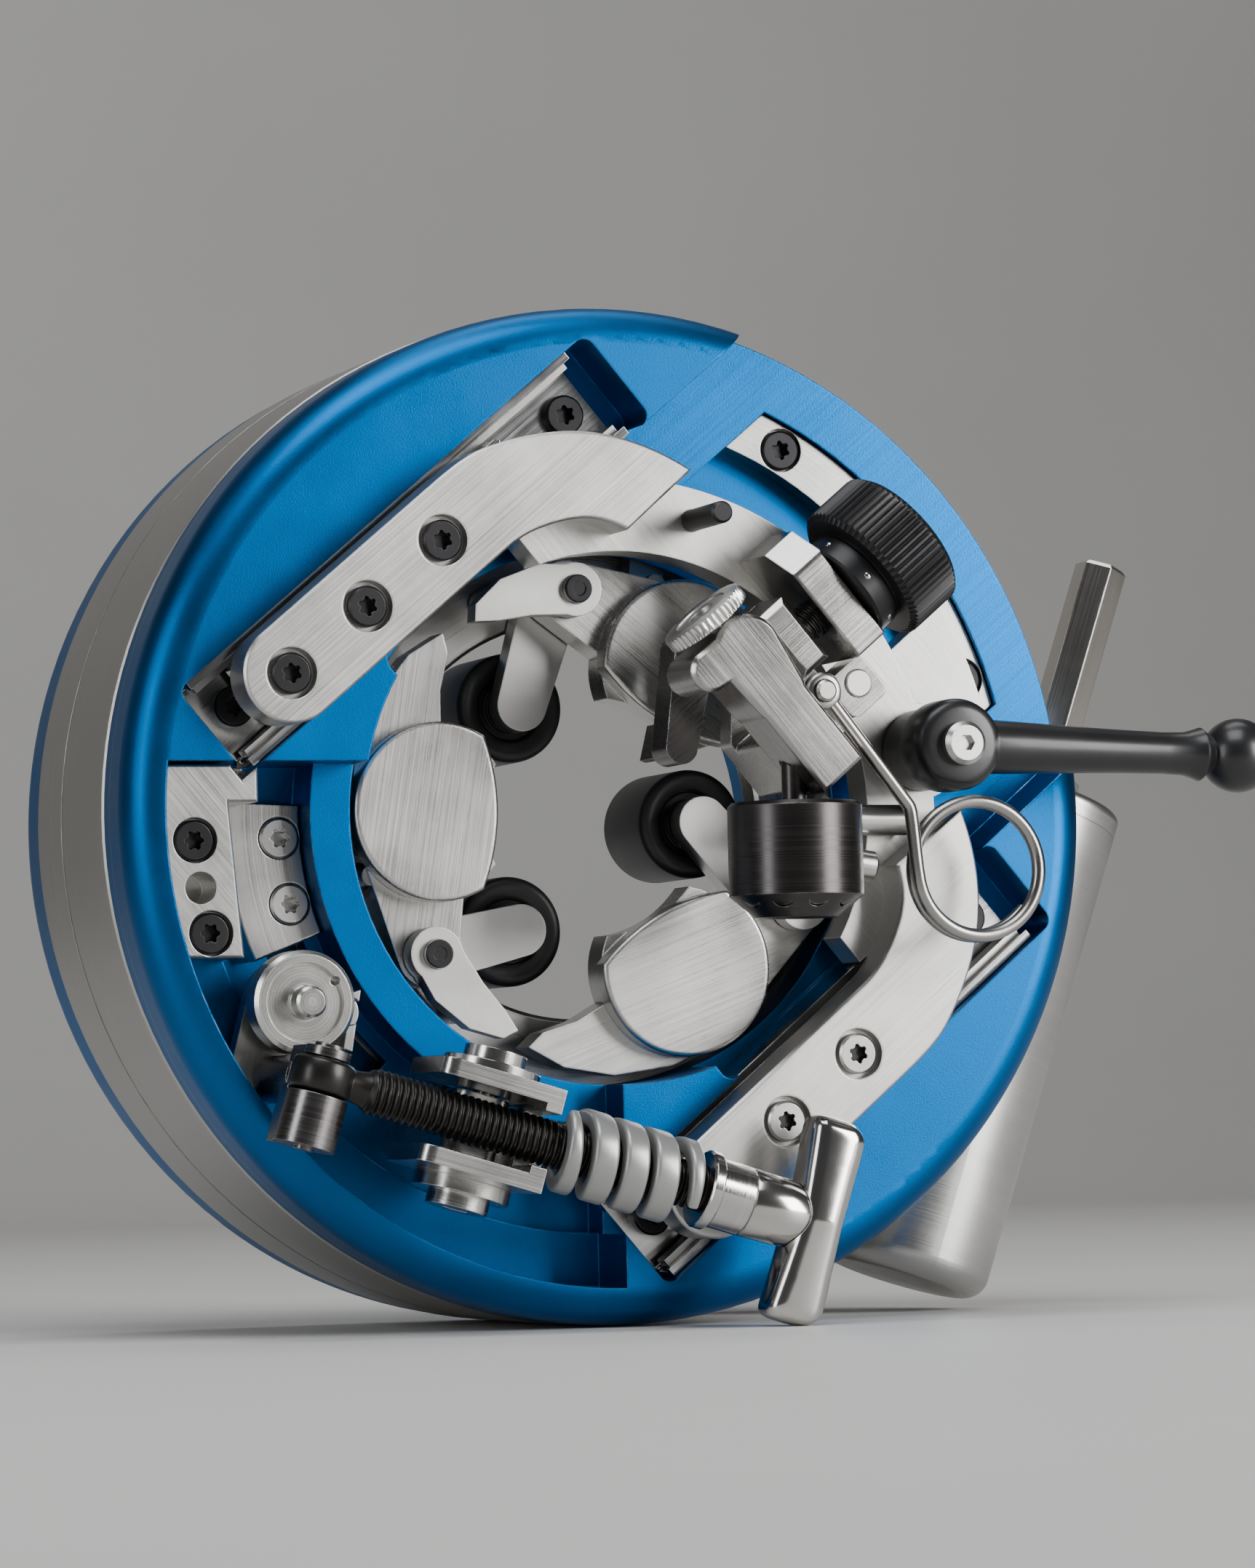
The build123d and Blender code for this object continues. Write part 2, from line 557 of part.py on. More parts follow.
# ================================================================ jaws, links and rollers
jaw_y1 = 23.4
jaw_y0 = 15.2
puck_t = 5.0
link_y1 = 14.6
link_arm_y1 = 29.6
link_arm_y0 = 24.2
for k in range(3):
    at = jaw_first_deg + 120 * k
    own = turned(jaw_y1, at)
    pin_xy = polar(jaw_pin_r, 38.4)
    lug_xy = polar(50.6, lug_deg)
    with BuildPart() as jaw:
        with BuildSketch(own):
            with Locations((jaw_disc_at, 0)):
                Circle(jaw_disc_r - 1.2)
            add(hull(Plane.XY, [(pin_xy[0], pin_xy[1], 6.6), (jaw_disc_at + 4, 6, 11.5)]))
            horn = [polar(54.0, 4), polar(54.0, -12), polar(53.6, -26), polar(52.4, -38),
                polar(50.2, -47.5), polar(46.4, -45), polar(42.6, -36), polar(38.5, -27), polar(34, -14)]
            with BuildLine():
                Polyline(*horn, close=True)
            make_face()
            Circle(54.2, mode=Mode.INTERSECT)
            Circle(24.6, mode=Mode.SUBTRACT)
        extrude(amount=jaw_y1 - jaw_y0)
        extrude(disc(own.offset(-1), 3.0 + run, pin_xy), amount=40, mode=Mode.SUBTRACT)
        extrude(hull(own.offset(-1), [(lug_xy[0], lug_xy[1], 2.7),
            (lug_xy[0] + 3.4, lug_xy[1] + 7.4, 2.9), (lug_xy[0] + 8, lug_xy[1] + 2, 4.5),
            (lug_xy[0] + 0.4, lug_xy[1] - 1.6, 2.7)]), amount=jaw_y1 - 15.0, mode=Mode.SUBTRACT)
    with BuildPart() as puck:
        with BuildSketch(turned(jaw_y0, at)):
            with Locations((jaw_disc_at, 0)):
                Circle(jaw_disc_r)
            Circle(22.4, mode=Mode.SUBTRACT)
            with Locations((66.0, 0)):
                Circle(42.6, mode=Mode.INTERSECT)
        extrude(amount=puck_t)
        fillet(puck.faces().sort_by(Axis.Y)[0].edges(), 0.9)
    save_group("jaw_" + str(k + 1), jaw.part, puck.part)
    with BuildPart() as link:
        tip = [polar(jaw_pin_r + 5.2, 38.4), polar(53.6, 46), polar(53.4, 56), polar(51.4, 64),
            polar(48.6, 66.5), polar(46.0, 61), polar(44.0, 52), polar(jaw_pin_r - 5.2, 38.4)]
        with BuildSketch(turned(link_y1, at)):
            with BuildLine():
                Polyline(*tip, close=True)
            make_face()
            with Locations(pin_xy):
                Circle(5.6)
        extrude(amount=5.0)
        roller_xy = polar(27.0, 60.0)
        extrude(hull(turned(link_arm_y1, at), [(pin_xy[0], pin_xy[1], 6.4),
            (roller_xy[0], roller_xy[1], 5.4)]), amount=link_arm_y1 - link_arm_y0)
        post = polar(49.0, 54.0)
        extrude(disc(turned(link_arm_y1, at), 3.4, post), amount=link_arm_y1 - link_y1 + 1)
        extrude(hull(turned(link_arm_y1, at), [(pin_xy[0], pin_xy[1], 4.0), (post[0], post[1], 3.4)]),
            amount=link_arm_y1 - link_arm_y0)
        extrude(disc(turned(56.0, at), 3.0, roller_xy), amount=56.0 - link_arm_y1)
        extrude(disc(turned(link_arm_y1 + 2, at), 3.0 + run, pin_xy), amount=60, mode=Mode.SUBTRACT)
    save(link.part, "link_" + str(k + 1))
    with BuildPart() as roller:
        extrude(disc(turned(55.0, at), roller_r, roller_xy), amount=24.0)
        fillet(roller.edges().filter_by(GeomType.CIRCLE), 1.6)
        extrude(ring(turned(31.8, at), 7.0, roller_r - 2.2, roller_xy), amount=3, mode=Mode.SUBTRACT)
        extrude(disc(turned(60, at), 3.0 + run, roller_xy), amount=60, mode=Mode.SUBTRACT)
    save(roller.part, "roller_" + str(k + 1))

# ================================================================ swing bolt, fork, spring and handle
handle_lo = 82.2
wing_t = 101.2
wing_w = 12.6
wing_half = 6.4
with BuildPart() as swing_bolt:
    extrude(disc(cross_axis(0, -clevis_gap + 0.35), eye_r), amount=2 * clevis_gap - 0.7)
    chamfer(swing_bolt.edges().filter_by(GeomType.CIRCLE), 0.8)
    extrude(disc(bolt_axis(4.0), clevis_gap - 0.4), amount=6.0)
    extrude(disc(bolt_axis(9.0), bolt_r), amount=wing_t - 9.0 - 6.0)
    chamfer(swing_bolt.faces().sort_by(Axis(bolt.origin, bolt.x_dir))[-1].edges(), 0.6)
    extrude(disc(cross_axis(0, -10), 2.0 + run), amount=20, mode=Mode.SUBTRACT)
save(swing_bolt.part, "swing_bolt")

cheek_t0 = 22.0
cheek_t1 = 48.0
cheek_in = bolt_r + 2.4
cheek_out = cheek_in + 3.4
pivot_t = 38.5
pivot_y = -7.0
with BuildPart() as fork:
    for side in (-1, 1):
        extrude(rect(bolt.offset(-bolt_front + 4.0), cheek_t0, side * cheek_in, cheek_t1,
            side * cheek_out), amount=24.0)
    extrude(rect(bolt.offset(-bolt_front + 4.0), cheek_t1 - 3.4, -cheek_in, cheek_t1, cheek_in),
        amount=24.0)
    fillet(fork.edges().filter_by(Axis((0, 0, 0), bolt.y_dir)).group_by(Axis(bolt.origin,
        bolt.x_dir))[0], 3.0)
    slot_half = bolt_r + 0.8
    extrude(rect(bolt.offset(-slot_half), cheek_t1 - 10, -slot_half, cheek_t1 + 1, slot_half),
        amount=30, mode=Mode.SUBTRACT)
    extrude(disc(cross_axis(pivot_t, -20, pivot_y), 2.5 + run), amount=40, mode=Mode.SUBTRACT)
save(fork.part, "fork")

boss_t = 2.9
with BuildPart() as fork_bosses:
    for side in (-1, 1):
        near = cheek_out if side > 0 else -cheek_out - boss_t
        outer = cheek_out + boss_t if side > 0 else -cheek_out - 2 * boss_t
        extrude(disc(cross_axis(pivot_t, near, pivot_y), 10.0), amount=boss_t)
        extrude(disc(cross_axis(pivot_t, outer, pivot_y), 6.4), amount=boss_t)
    extrude(disc(cross_axis(pivot_t, -cheek_out - 1, pivot_y), 2.5), amount=2 * cheek_out + 2)
    for side in (-1, 1):
        near = cheek_out + 2 * boss_t - 1.6 if side > 0 else -cheek_out - 2 * boss_t - 1
        extrude(hexagon(cross_axis(pivot_t, near, pivot_y), 5.0), amount=2.6, mode=Mode.SUBTRACT)
save(fork_bosses.part, "fork_bosses")

with BuildPart() as fork_lug:
    extrude(rect(bolt.offset(-bolt_front - deep_y), pivot_t - 7.0, -cheek_in + fit, pivot_t + 5.0,
        cheek_in - fit), amount=deep_y + 11.5)
    fillet(fork_lug.edges().filter_by(Axis((0, 0, 0), bolt.y_dir)).group_by(Axis.Y)[0], 4.0)
    extrude(disc(front(deep_y), 8.2, bolt_at(pivot_t + 13, -1)), amount=12.0)
    extrude(rect(bolt.offset(-bolt_front - deep_y), pivot_t, -5.5, pivot_t + 13, 5.5), amount=8.0)
    extrude(disc(cross_axis(pivot_t, -20, pivot_y), 2.5 + run), amount=40, mode=Mode.SUBTRACT)
save(fork_lug.part, "fork_lug")

with BuildPart() as spring:
    turns = 4.25
    wire_t = 5.2
    span = handle_lo - cheek_t1 - 0.6 - wire_t
    mid_r = (spring_r + bolt_r + 0.8) / 2
    with BuildLine() as coil:
        Helix(span / turns, span, mid_r)
    with BuildSketch(Plane(origin=coil.line @ 0, x_dir=(1, 0, 0), z_dir=coil.line % 0)):
        Rectangle(spring_r - bolt_r - 0.8, wire_t)
    sweep(path=coil.line, is_frenet=True)
spring_at = bolt_axis(cheek_t1 + 0.3 + wire_t / 2)
save(spring.part.moved(spring_at.location), "spring")

with BuildPart() as handle_hub:
    extrude(disc(bolt_axis(handle_lo), 8.0), amount=2.6)
    extrude(disc(bolt_axis(handle_lo + 2.6), 7.1), amount=7.0)
    extrude(disc(bolt_axis(handle_lo - 1), bolt_r + run), amount=40, mode=Mode.SUBTRACT)
    chamfer(handle_hub.edges().filter_by(GeomType.CIRCLE).filter_by(lambda e: e.radius > 7.5), 0.4)
save(handle_hub.part, "handle_hub")

with BuildPart() as t_handle:
    wing = [(wing_t + 2.2, -7.0), (wing_t + 0.6, -21.2), (wing_t + wing_w - 0.8, -19.4),
        (wing_t + wing_w - 2.0, -8.0)]
    wing = wing + [(t, -c) for t, c in reversed(wing)]
    extrude(poly(bolt.offset(-wing_half), wing, 1.4), amount=2 * wing_half)
    fillet(t_handle.faces().filter_by(Axis.Y).edges(), 1.3)
    extrude(disc(bolt_axis(handle_lo + 9.9), 7.0), amount=wing_t - handle_lo - 9.9 + 2)
    extrude(disc(bolt_axis(handle_lo), bolt_r + run), amount=wing_t - handle_lo, mode=Mode.SUBTRACT)
save(t_handle.part, "t_handle")

# ================================================================ tool slide
def s_axis(s, q, y):
    x, z = sq(s, q)
    return along(x, y, z, slide_deg)


def q_axis(s, q, y):
    x, z = sq(s, q)
    return along(x, y, z, slide_deg + 90)


screw_q = 6.0
screw_y = -14.0
block_s = 53.2
block_t = 8.0
knob_s = block_s + block_t + fit + 5.5
plate_s = block_s - 4.6
base_y = arm_t - arm_top
plate_y0 = -9.0
plate_y1 = -3.0
arm_y1 = arm_t - arm_top
first_s = 3.0
arm_pts = [(first_s - screw_pitch * k, rail_q) for k in range(3)]


def arm(mirror):
    with BuildPart() as made:
        with BuildSketch(slant(arm_y1)):
            with BuildLine():
                outer = rail_q + arm_w / 2
                inner = rail_q - arm_w / 2
                tail = first_s - 2 * screw_pitch
                Line((tail, inner), (13.0, inner))
                Spline((13.0, inner), (22.0, 56.4), (29.5, 52.4), (35.2, 44.7),
                    tangents=[(1, 0), (0.45, -1)])
                Line((35.2, 44.7), (54.1, 45.2))
                Spline((54.1, 45.2), (48.2, 57.4), (38.5, 68.0), (24.0, 76.0), (8.0, outer),
                    tangents=[(-0.35, 1), (-1, 0)])
                Line((8.0, outer), (tail, outer))
                ThreePointArc((tail, outer), (tail - arm_w / 2, rail_q), (tail, inner))
            make_face()
        extrude(amount=arm_t)
        chamfer(made.faces().sort_by(Axis.Y)[0].edges(), 0.5)
        extrude(disc(slant(2.7 - arm_top), 5.2, *arm_pts), amount=10, mode=Mode.SUBTRACT)
        extrude(disc(slant(10), 2.5, *arm_pts), amount=30, mode=Mode.SUBTRACT)
        if mirror:
            d = radians(slide_deg)
            add(made.part.mirror(Plane(origin=(0, 0, 0), z_dir=(-sin(d), 0, cos(d)))), mode=Mode.REPLACE)
    return made.part


save(arm(False), "arm_a")
save(arm(True), "arm_b")
save(low_head_screw(slant(2.7 - arm_top), 14.0, arm_pts), "arm_screws_a")
save(low_head_screw(slant(2.7 - arm_top), 14.0, [(s, -q) for s, q in arm_pts]), "arm_screws_b")

slider_lo = first_s - 2 * screw_pitch - 5
with BuildPart() as sliders:
    for side in (rail_q, -rail_q):
        extrude(rect(slant(rail_floor - 5.2), slider_lo, side - slider_half, first_s + 26,
            side + slider_half), amount=rail_floor - 5.2 - arm_y1)
    chamfer(sliders.edges().filter_by(Axis.Y), 0.8)
    extrude(disc(slant(rail_floor), 2.5, *[(s, rail_q) for s, q in arm_pts],
        *[(s, -rail_q) for s, q in arm_pts]), amount=60, mode=Mode.SUBTRACT)
save(sliders.part, "sliders")

bridge_y1 = 8.0
bridge_in = 53.5
bridge_out = 68.6
bridge_q = pocket_q0 - 0.5
hub_sq = (58.2, -32.4)
with BuildPart() as bridge:
    with BuildSketch(slant(bridge_y1)):
        Circle(bridge_out)
        Circle(bridge_in, mode=Mode.SUBTRACT)
        with Locations((60, 0)):
            Rectangle(82, 2 * bridge_q, mode=Mode.INTERSECT)
    extrude(amount=bridge_y1 - arm_y1)
    extrude(hull(slant(bridge_y1), [(hub_sq[0], hub_sq[1], 10.0), (49.4, -27.4, 8.0)]),
        amount=bridge_y1 - arm_y1)
    block_foot = [(block_s + 6.0, 20.0, 6.0), (block_s + 6.0, -6.0, 6.0)]
    extrude(hull(slant(bridge_y1), block_foot), amount=bridge_y1 - arm_y1)
    with BuildSketch(slant(bridge_y1)):
        Circle(84.0)
        Circle(bridge_in, mode=Mode.SUBTRACT)
        with Locations((65, -25)):
            Rectangle(44, 24, mode=Mode.INTERSECT)
    extrude(amount=bridge_y1 - arm_y1 - 2.0)
    extrude(disc(slant(bridge_y1 + 10), bridge_in), amount=60, mode=Mode.SUBTRACT)
    extrude(disc(slant(bridge_y1 + 1), 2.3, (50.8, 35.7)), amount=40, mode=Mode.SUBTRACT)
    extrude(disc(slant(bridge_y1 + 1), 4.0, hub_sq), amount=40, mode=Mode.SUBTRACT)
    extrude(disc(s_axis(knob_s - fit, screw_q, screw_y), knob_r + fit), amount=40, mode=Mode.SUBTRACT)
save(bridge.part, "bridge")

with BuildPart() as stop_pin:
    extrude(disc(slant(bridge_y1), 2.3, (50.8, 35.7)), amount=bridge_y1 + 18.6)
    chamfer(stop_pin.faces().sort_by(Axis.Y)[0].edges(), 0.5)
save(stop_pin.part, "stop_pin")

# ================================================================ tool head


with BuildPart() as screw_block:
    extrude(rect(slant(base_y), block_s, -5.0, block_s + block_t, 22.6), amount=base_y + 21.4)
    top_edges = screw_block.faces().sort_by(Axis.Y)[0].edges()
    chamfer(top_edges.sort_by(Axis((0, 0, 0), (-sin(radians(slide_deg)), 0,
        cos(radians(slide_deg)))))[-1], 6.2)
    chamfer(screw_block.faces().sort_by(Axis.Y)[0].edges(), 0.5)
    extrude(disc(s_axis(block_s - 1, screw_q, screw_y), feed_r + run), amount=20, mode=Mode.SUBTRACT)
save(screw_block.part, "screw_block")

with BuildPart() as feed_screw:
    screw_end = knob_s + knob_len - 0.4
    extrude(disc(s_axis(plate_s - 10, screw_q, screw_y), feed_r), amount=screw_end - plate_s + 10)
    chamfer(feed_screw.edges().filter_by(GeomType.CIRCLE), 0.6)
save(feed_screw.part, "feed_screw")

with BuildPart() as feed_knob:
    extrude(disc(s_axis(knob_s, screw_q, screw_y), knob_r), amount=knob_len)
    chamfer(feed_knob.edges().filter_by(GeomType.CIRCLE), 0.9)
    collar_s = block_s + block_t + fit
    extrude(disc(s_axis(collar_s, screw_q, screw_y), 11.4), amount=knob_s - collar_s)
    extrude(disc(s_axis(knob_s + knob_len - 1.4, screw_q, screw_y), 10.0), amount=3, mode=Mode.SUBTRACT)
    extrude(disc(s_axis(block_s, screw_q, screw_y), feed_r), amount=60, mode=Mode.SUBTRACT)
save(feed_knob.part, "feed_knob")

with BuildPart() as carriage:
    outline = [(35, -17), (plate_s, -17), (plate_s, 15), (38, 15), (35, 9), (24, -3), (24, -17)]
    extrude(poly(slant(plate_y1), outline, 1.5), amount=plate_y1 - plate_y0)
    extrude(rect(slant(plate_y0), 24.0, -17.0, 34.0, -4.0, 1.5), amount=plate_y0 + 24.0)
    extrude(rect(slant(plate_y0 + 2), 46.0, -15.5, 56.0, -5.6, 2.0), amount=9.0)
    extrude(disc(slant(plate_y0), 2.9, (51.5, -10.0)), amount=20, mode=Mode.SUBTRACT)
save(carriage.part, "carriage")

with BuildPart() as nut_block:
    extrude(rect(slant(plate_y0), plate_s - 7.6, -0.6, plate_s - 0.4, 15.0), amount=plate_y0 + 22.4)
    chamfer(nut_block.faces().sort_by(Axis.Y)[0].edges(), 1.2)
    extrude(disc(s_axis(plate_s - 12, screw_q, screw_y), feed_r + run), amount=20, mode=Mode.SUBTRACT)
save(nut_block.part, "nut_block")

drum_at = (26.0, -28.6)
drum_r = 13.6
drum_z = -23.0
with BuildPart() as knife_bar:
    extrude(hull(slant(-24.0), [(29.6, 14.6, 7.2), (29.0, 4.0, 6.0)]), amount=14.0)
    extrude(rect(slant(-24.0), 23.4, -17.4, 34.4, 12.0), amount=14.0)
    extrude(hull(slant(-24.0), [(26.6, 16.0, 4.6), (20.6, 16.6, 4.2)]), amount=14.0)
    chamfer(knife_bar.faces().sort_by(Axis.Y)[0].edges(), 0.8)
    extrude(disc(q_axis(29.0, 10.0, -31.0), 2.0 + run), amount=20, mode=Mode.SUBTRACT)
    extrude(disc(Plane(origin=(drum_at[0], drum_at[1], -2)), 2.5 + run), amount=16.2, mode=Mode.SUBTRACT)
save(knife_bar.part, "knife_bar")

with BuildPart() as thumb_wheel:
    extrude(disc(q_axis(29.0, 22.4, -31.0), 9.4), amount=3.4)
    chamfer(thumb_wheel.edges().filter_by(GeomType.CIRCLE), 0.5)
    extrude(disc(q_axis(29.0, 11.0, -31.0), 2.0), amount=12.0)
save(thumb_wheel.part, "thumb_wheel")

with BuildPart() as blade_holder:
    extrude(hull(slant(plate_y1), [(30.0, 17.0, 4.4), (14.6, 4.0, 3.4)]), amount=8.6)
    extrude(disc(slant(-11.0), 4.4, (30.0, 17.0)), amount=13.0)
save(blade_holder.part, "blade_holder")

with BuildPart() as blade:
    extrude(poly(turned(plate_y1 + 9.5, slide_deg), [(12.6, 3.2), (18.6, 7.6), (17.8, 8.8),
        (11.8, 4.4)]), amount=9.5)
save(blade.part, "blade")

with BuildPart() as index_drum:
    base = Plane(origin=(drum_at[0], drum_at[1], drum_z))
    extrude(disc(base, drum_r), amount=0.2 - drum_z)
    chamfer(index_drum.edges().filter_by(GeomType.CIRCLE).sort_by(Axis.Z)[0], 4.4, 5.2)
    chamfer(index_drum.edges().filter_by(GeomType.CIRCLE).sort_by(Axis.Z)[-1], 0.8)
    extrude(disc(base.offset(-0.3 - drum_z), 2.5), amount=14.2)
    for k in range(10):
        a = radians(36 * k + 18)
        away = (cos(a) * cos(radians(40)), sin(a) * cos(radians(40)), -sin(radians(40)))
        face = Plane(origin=(drum_at[0] + (drum_r - 1.6) * cos(a), drum_at[1] + (drum_r - 1.6) * sin(a),
            drum_z + 3.4), z_dir=away)
        extrude(disc(face, 2.1), amount=-2.2, mode=Mode.SUBTRACT)
save(index_drum.part, "index_drum")


with BuildPart() as hinge_pin:
    extrude(disc(slant(plate_y0), 2.9, (51.5, -10.0)), amount=7.6)
    chamfer(hinge_pin.faces().sort_by(Axis.Y)[0].edges(), 0.3)

with BuildPart() as guide_pins:
    extrude(disc(along(44.0, base_y - 3.2, -2.0, 0), 3.2), amount=17.0)
    extrude(disc(along(45.0, base_y - 3.2, -10.5, -8), 3.2), amount=8.4)
    chamfer(guide_pins.edges().filter_by(GeomType.CIRCLE), 0.6)

# ball lever
hub_at = sq(*hub_sq)
ball_at = (131.0, 10.6)
with BuildPart() as lever_pin:
    extrude(disc(front(bridge_y1), 4.0, hub_at), amount=bridge_y1 + 23.0)
save_group("slide_pins", guide_pins.part, lever_pin.part)

with BuildPart() as ball_lever:
    extrude(disc(front(base_y - fit), 8.6, hub_at), amount=10.0)
    extrude(disc(front(-11.0), 9.6, hub_at), amount=12.6)
    chamfer(ball_lever.faces().sort_by(Axis.Y)[0].edges(), 1.0)
    extrude(hull(front(-13.6), [(hub_at[0], hub_at[1], 6.6), (ball_at[0] - 8, ball_at[1] + 0.5, 4.6)]),
        amount=8.0)
    with Locations((ball_at[0], -17.6, ball_at[1])):
        Sphere(7.8)
    extrude(disc(front(10), 4.0 + run, hub_at), amount=33.0, mode=Mode.SUBTRACT)
save(ball_lever.part, "ball_lever")

with BuildPart() as lever_screw:
    extrude(disc(front(-23.7), 4.5, hub_at), amount=2.6)
    chamfer(lever_screw.faces().sort_by(Axis.Y)[0].edges(), 0.9)
    extrude(hexagon(front(-25.0), 3.0, hub_at), amount=4, mode=Mode.SUBTRACT)
save(lever_screw.part, "lever_screw")

# pull ring: wire from a post on the nut block
wire_r = 1.5
ring_c = (65.7, -13.3)
ring_mid = 13.9
wire_post = sq(38.9, -3.2)
with BuildPart() as ring_post:
    extrude(disc(front(plate_y0), 2.2, wire_post), amount=24.4)
    chamfer(ring_post.faces().sort_by(Axis.Y)[0].edges(), 0.5)
save_group("carriage_pins", hinge_pin.part, ring_post.part)

with BuildPart() as pull_ring:
    pts = []
    for k in range(0, 31):
        a = radians(168 + 17.2 * k)
        pts.append((ring_c[0] + ring_mid * cos(a), -30.6 + 4.2 * k / 30, ring_c[1] + ring_mid * sin(a)))
    start = (wire_post[0] + 2.2, -30.6, wire_post[1] - 2.6)
    with BuildLine() as wire:
        Spline(start, (43.4, -30.6, 9.6), (50.0, -30.6, -0.6), *pts[1:])
    with BuildSketch(Plane(origin=wire.line @ 0, z_dir=wire.line % 0)):
        Circle(wire_r)
    sweep(path=wire.line)
    extrude(ring(front(-29.1), 2.2 + run, 3.9, wire_post), amount=3.0)
save(pull_ring.part, "pull_ring")
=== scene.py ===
"""Looks of a rotary ring tool: anodised rings, slide rails, clamp jaws, swing bolt and tool head.

Everything is in the frame's own axes (+Y is the ring axis, away from the viewer). Sizes of the object
are in millimetres; the floor, the lights and the camera are in metres.
"""

import bpy
from math import cos, pi, radians, sin
from mathutils import Matrix, Vector


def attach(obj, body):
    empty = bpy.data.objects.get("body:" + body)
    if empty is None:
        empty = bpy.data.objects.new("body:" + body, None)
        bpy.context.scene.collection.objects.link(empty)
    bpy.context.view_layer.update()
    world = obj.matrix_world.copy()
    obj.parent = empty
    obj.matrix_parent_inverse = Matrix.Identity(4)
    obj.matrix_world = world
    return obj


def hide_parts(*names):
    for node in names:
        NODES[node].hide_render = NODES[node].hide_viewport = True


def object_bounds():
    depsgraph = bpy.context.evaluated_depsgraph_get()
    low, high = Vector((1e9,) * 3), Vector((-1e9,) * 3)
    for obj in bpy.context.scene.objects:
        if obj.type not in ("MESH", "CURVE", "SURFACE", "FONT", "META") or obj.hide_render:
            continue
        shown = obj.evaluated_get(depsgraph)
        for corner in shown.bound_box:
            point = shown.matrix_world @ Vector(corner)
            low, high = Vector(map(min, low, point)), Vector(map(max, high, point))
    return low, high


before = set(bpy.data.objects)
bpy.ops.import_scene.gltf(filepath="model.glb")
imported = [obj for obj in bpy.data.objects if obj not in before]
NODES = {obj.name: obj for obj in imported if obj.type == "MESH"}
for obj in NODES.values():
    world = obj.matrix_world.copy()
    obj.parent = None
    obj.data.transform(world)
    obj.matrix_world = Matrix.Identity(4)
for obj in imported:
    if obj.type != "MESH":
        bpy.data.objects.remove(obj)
cad_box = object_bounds()

MM = 0.001
SLIDE = 40.0                 # direction of the tool slide in the XZ plane, degrees
E_DIR = Vector((cos(radians(SLIDE)), 0, sin(radians(SLIDE))))
F_DIR = Vector((-sin(radians(SLIDE)), 0, cos(radians(SLIDE))))
BOLT_DEG = -16.7
T_DIR = Vector((cos(radians(BOLT_DEG)), 0, sin(radians(BOLT_DEG))))
C_DIR = Vector((-sin(radians(BOLT_DEG)), 0, cos(radians(BOLT_DEG))))
N_DIR = Vector((0, -1, 0))
Y_DIR = Vector((0, 1, 0))
EYE = Vector((-72.65, -22.0, -53.2))
GEAR_DIR = Vector((cos(radians(71)), 0, sin(radians(71))))
GEAR_AT = Vector((105 * cos(radians(-19)), 45.0, 105 * sin(radians(-19))))
JAW_DEG = [178.6 + 120 * k for k in range(3)]
LAND_IN = (0.0139, 0.0143)   # depth in metres over which the milled land's cutter lines begin
LAND_OUT = (0.0147, 0.0151)  # and over which they end


def slide_point(s, q, y):
    return E_DIR * s + F_DIR * q + Vector((0, y, 0))


def bolt_point(t, c=0.0, n=0.0):
    return EYE + T_DIR * t + C_DIR * c + N_DIR * n


def polar(r, deg, y):
    return Vector((r * cos(radians(deg)), y, r * sin(radians(deg))))


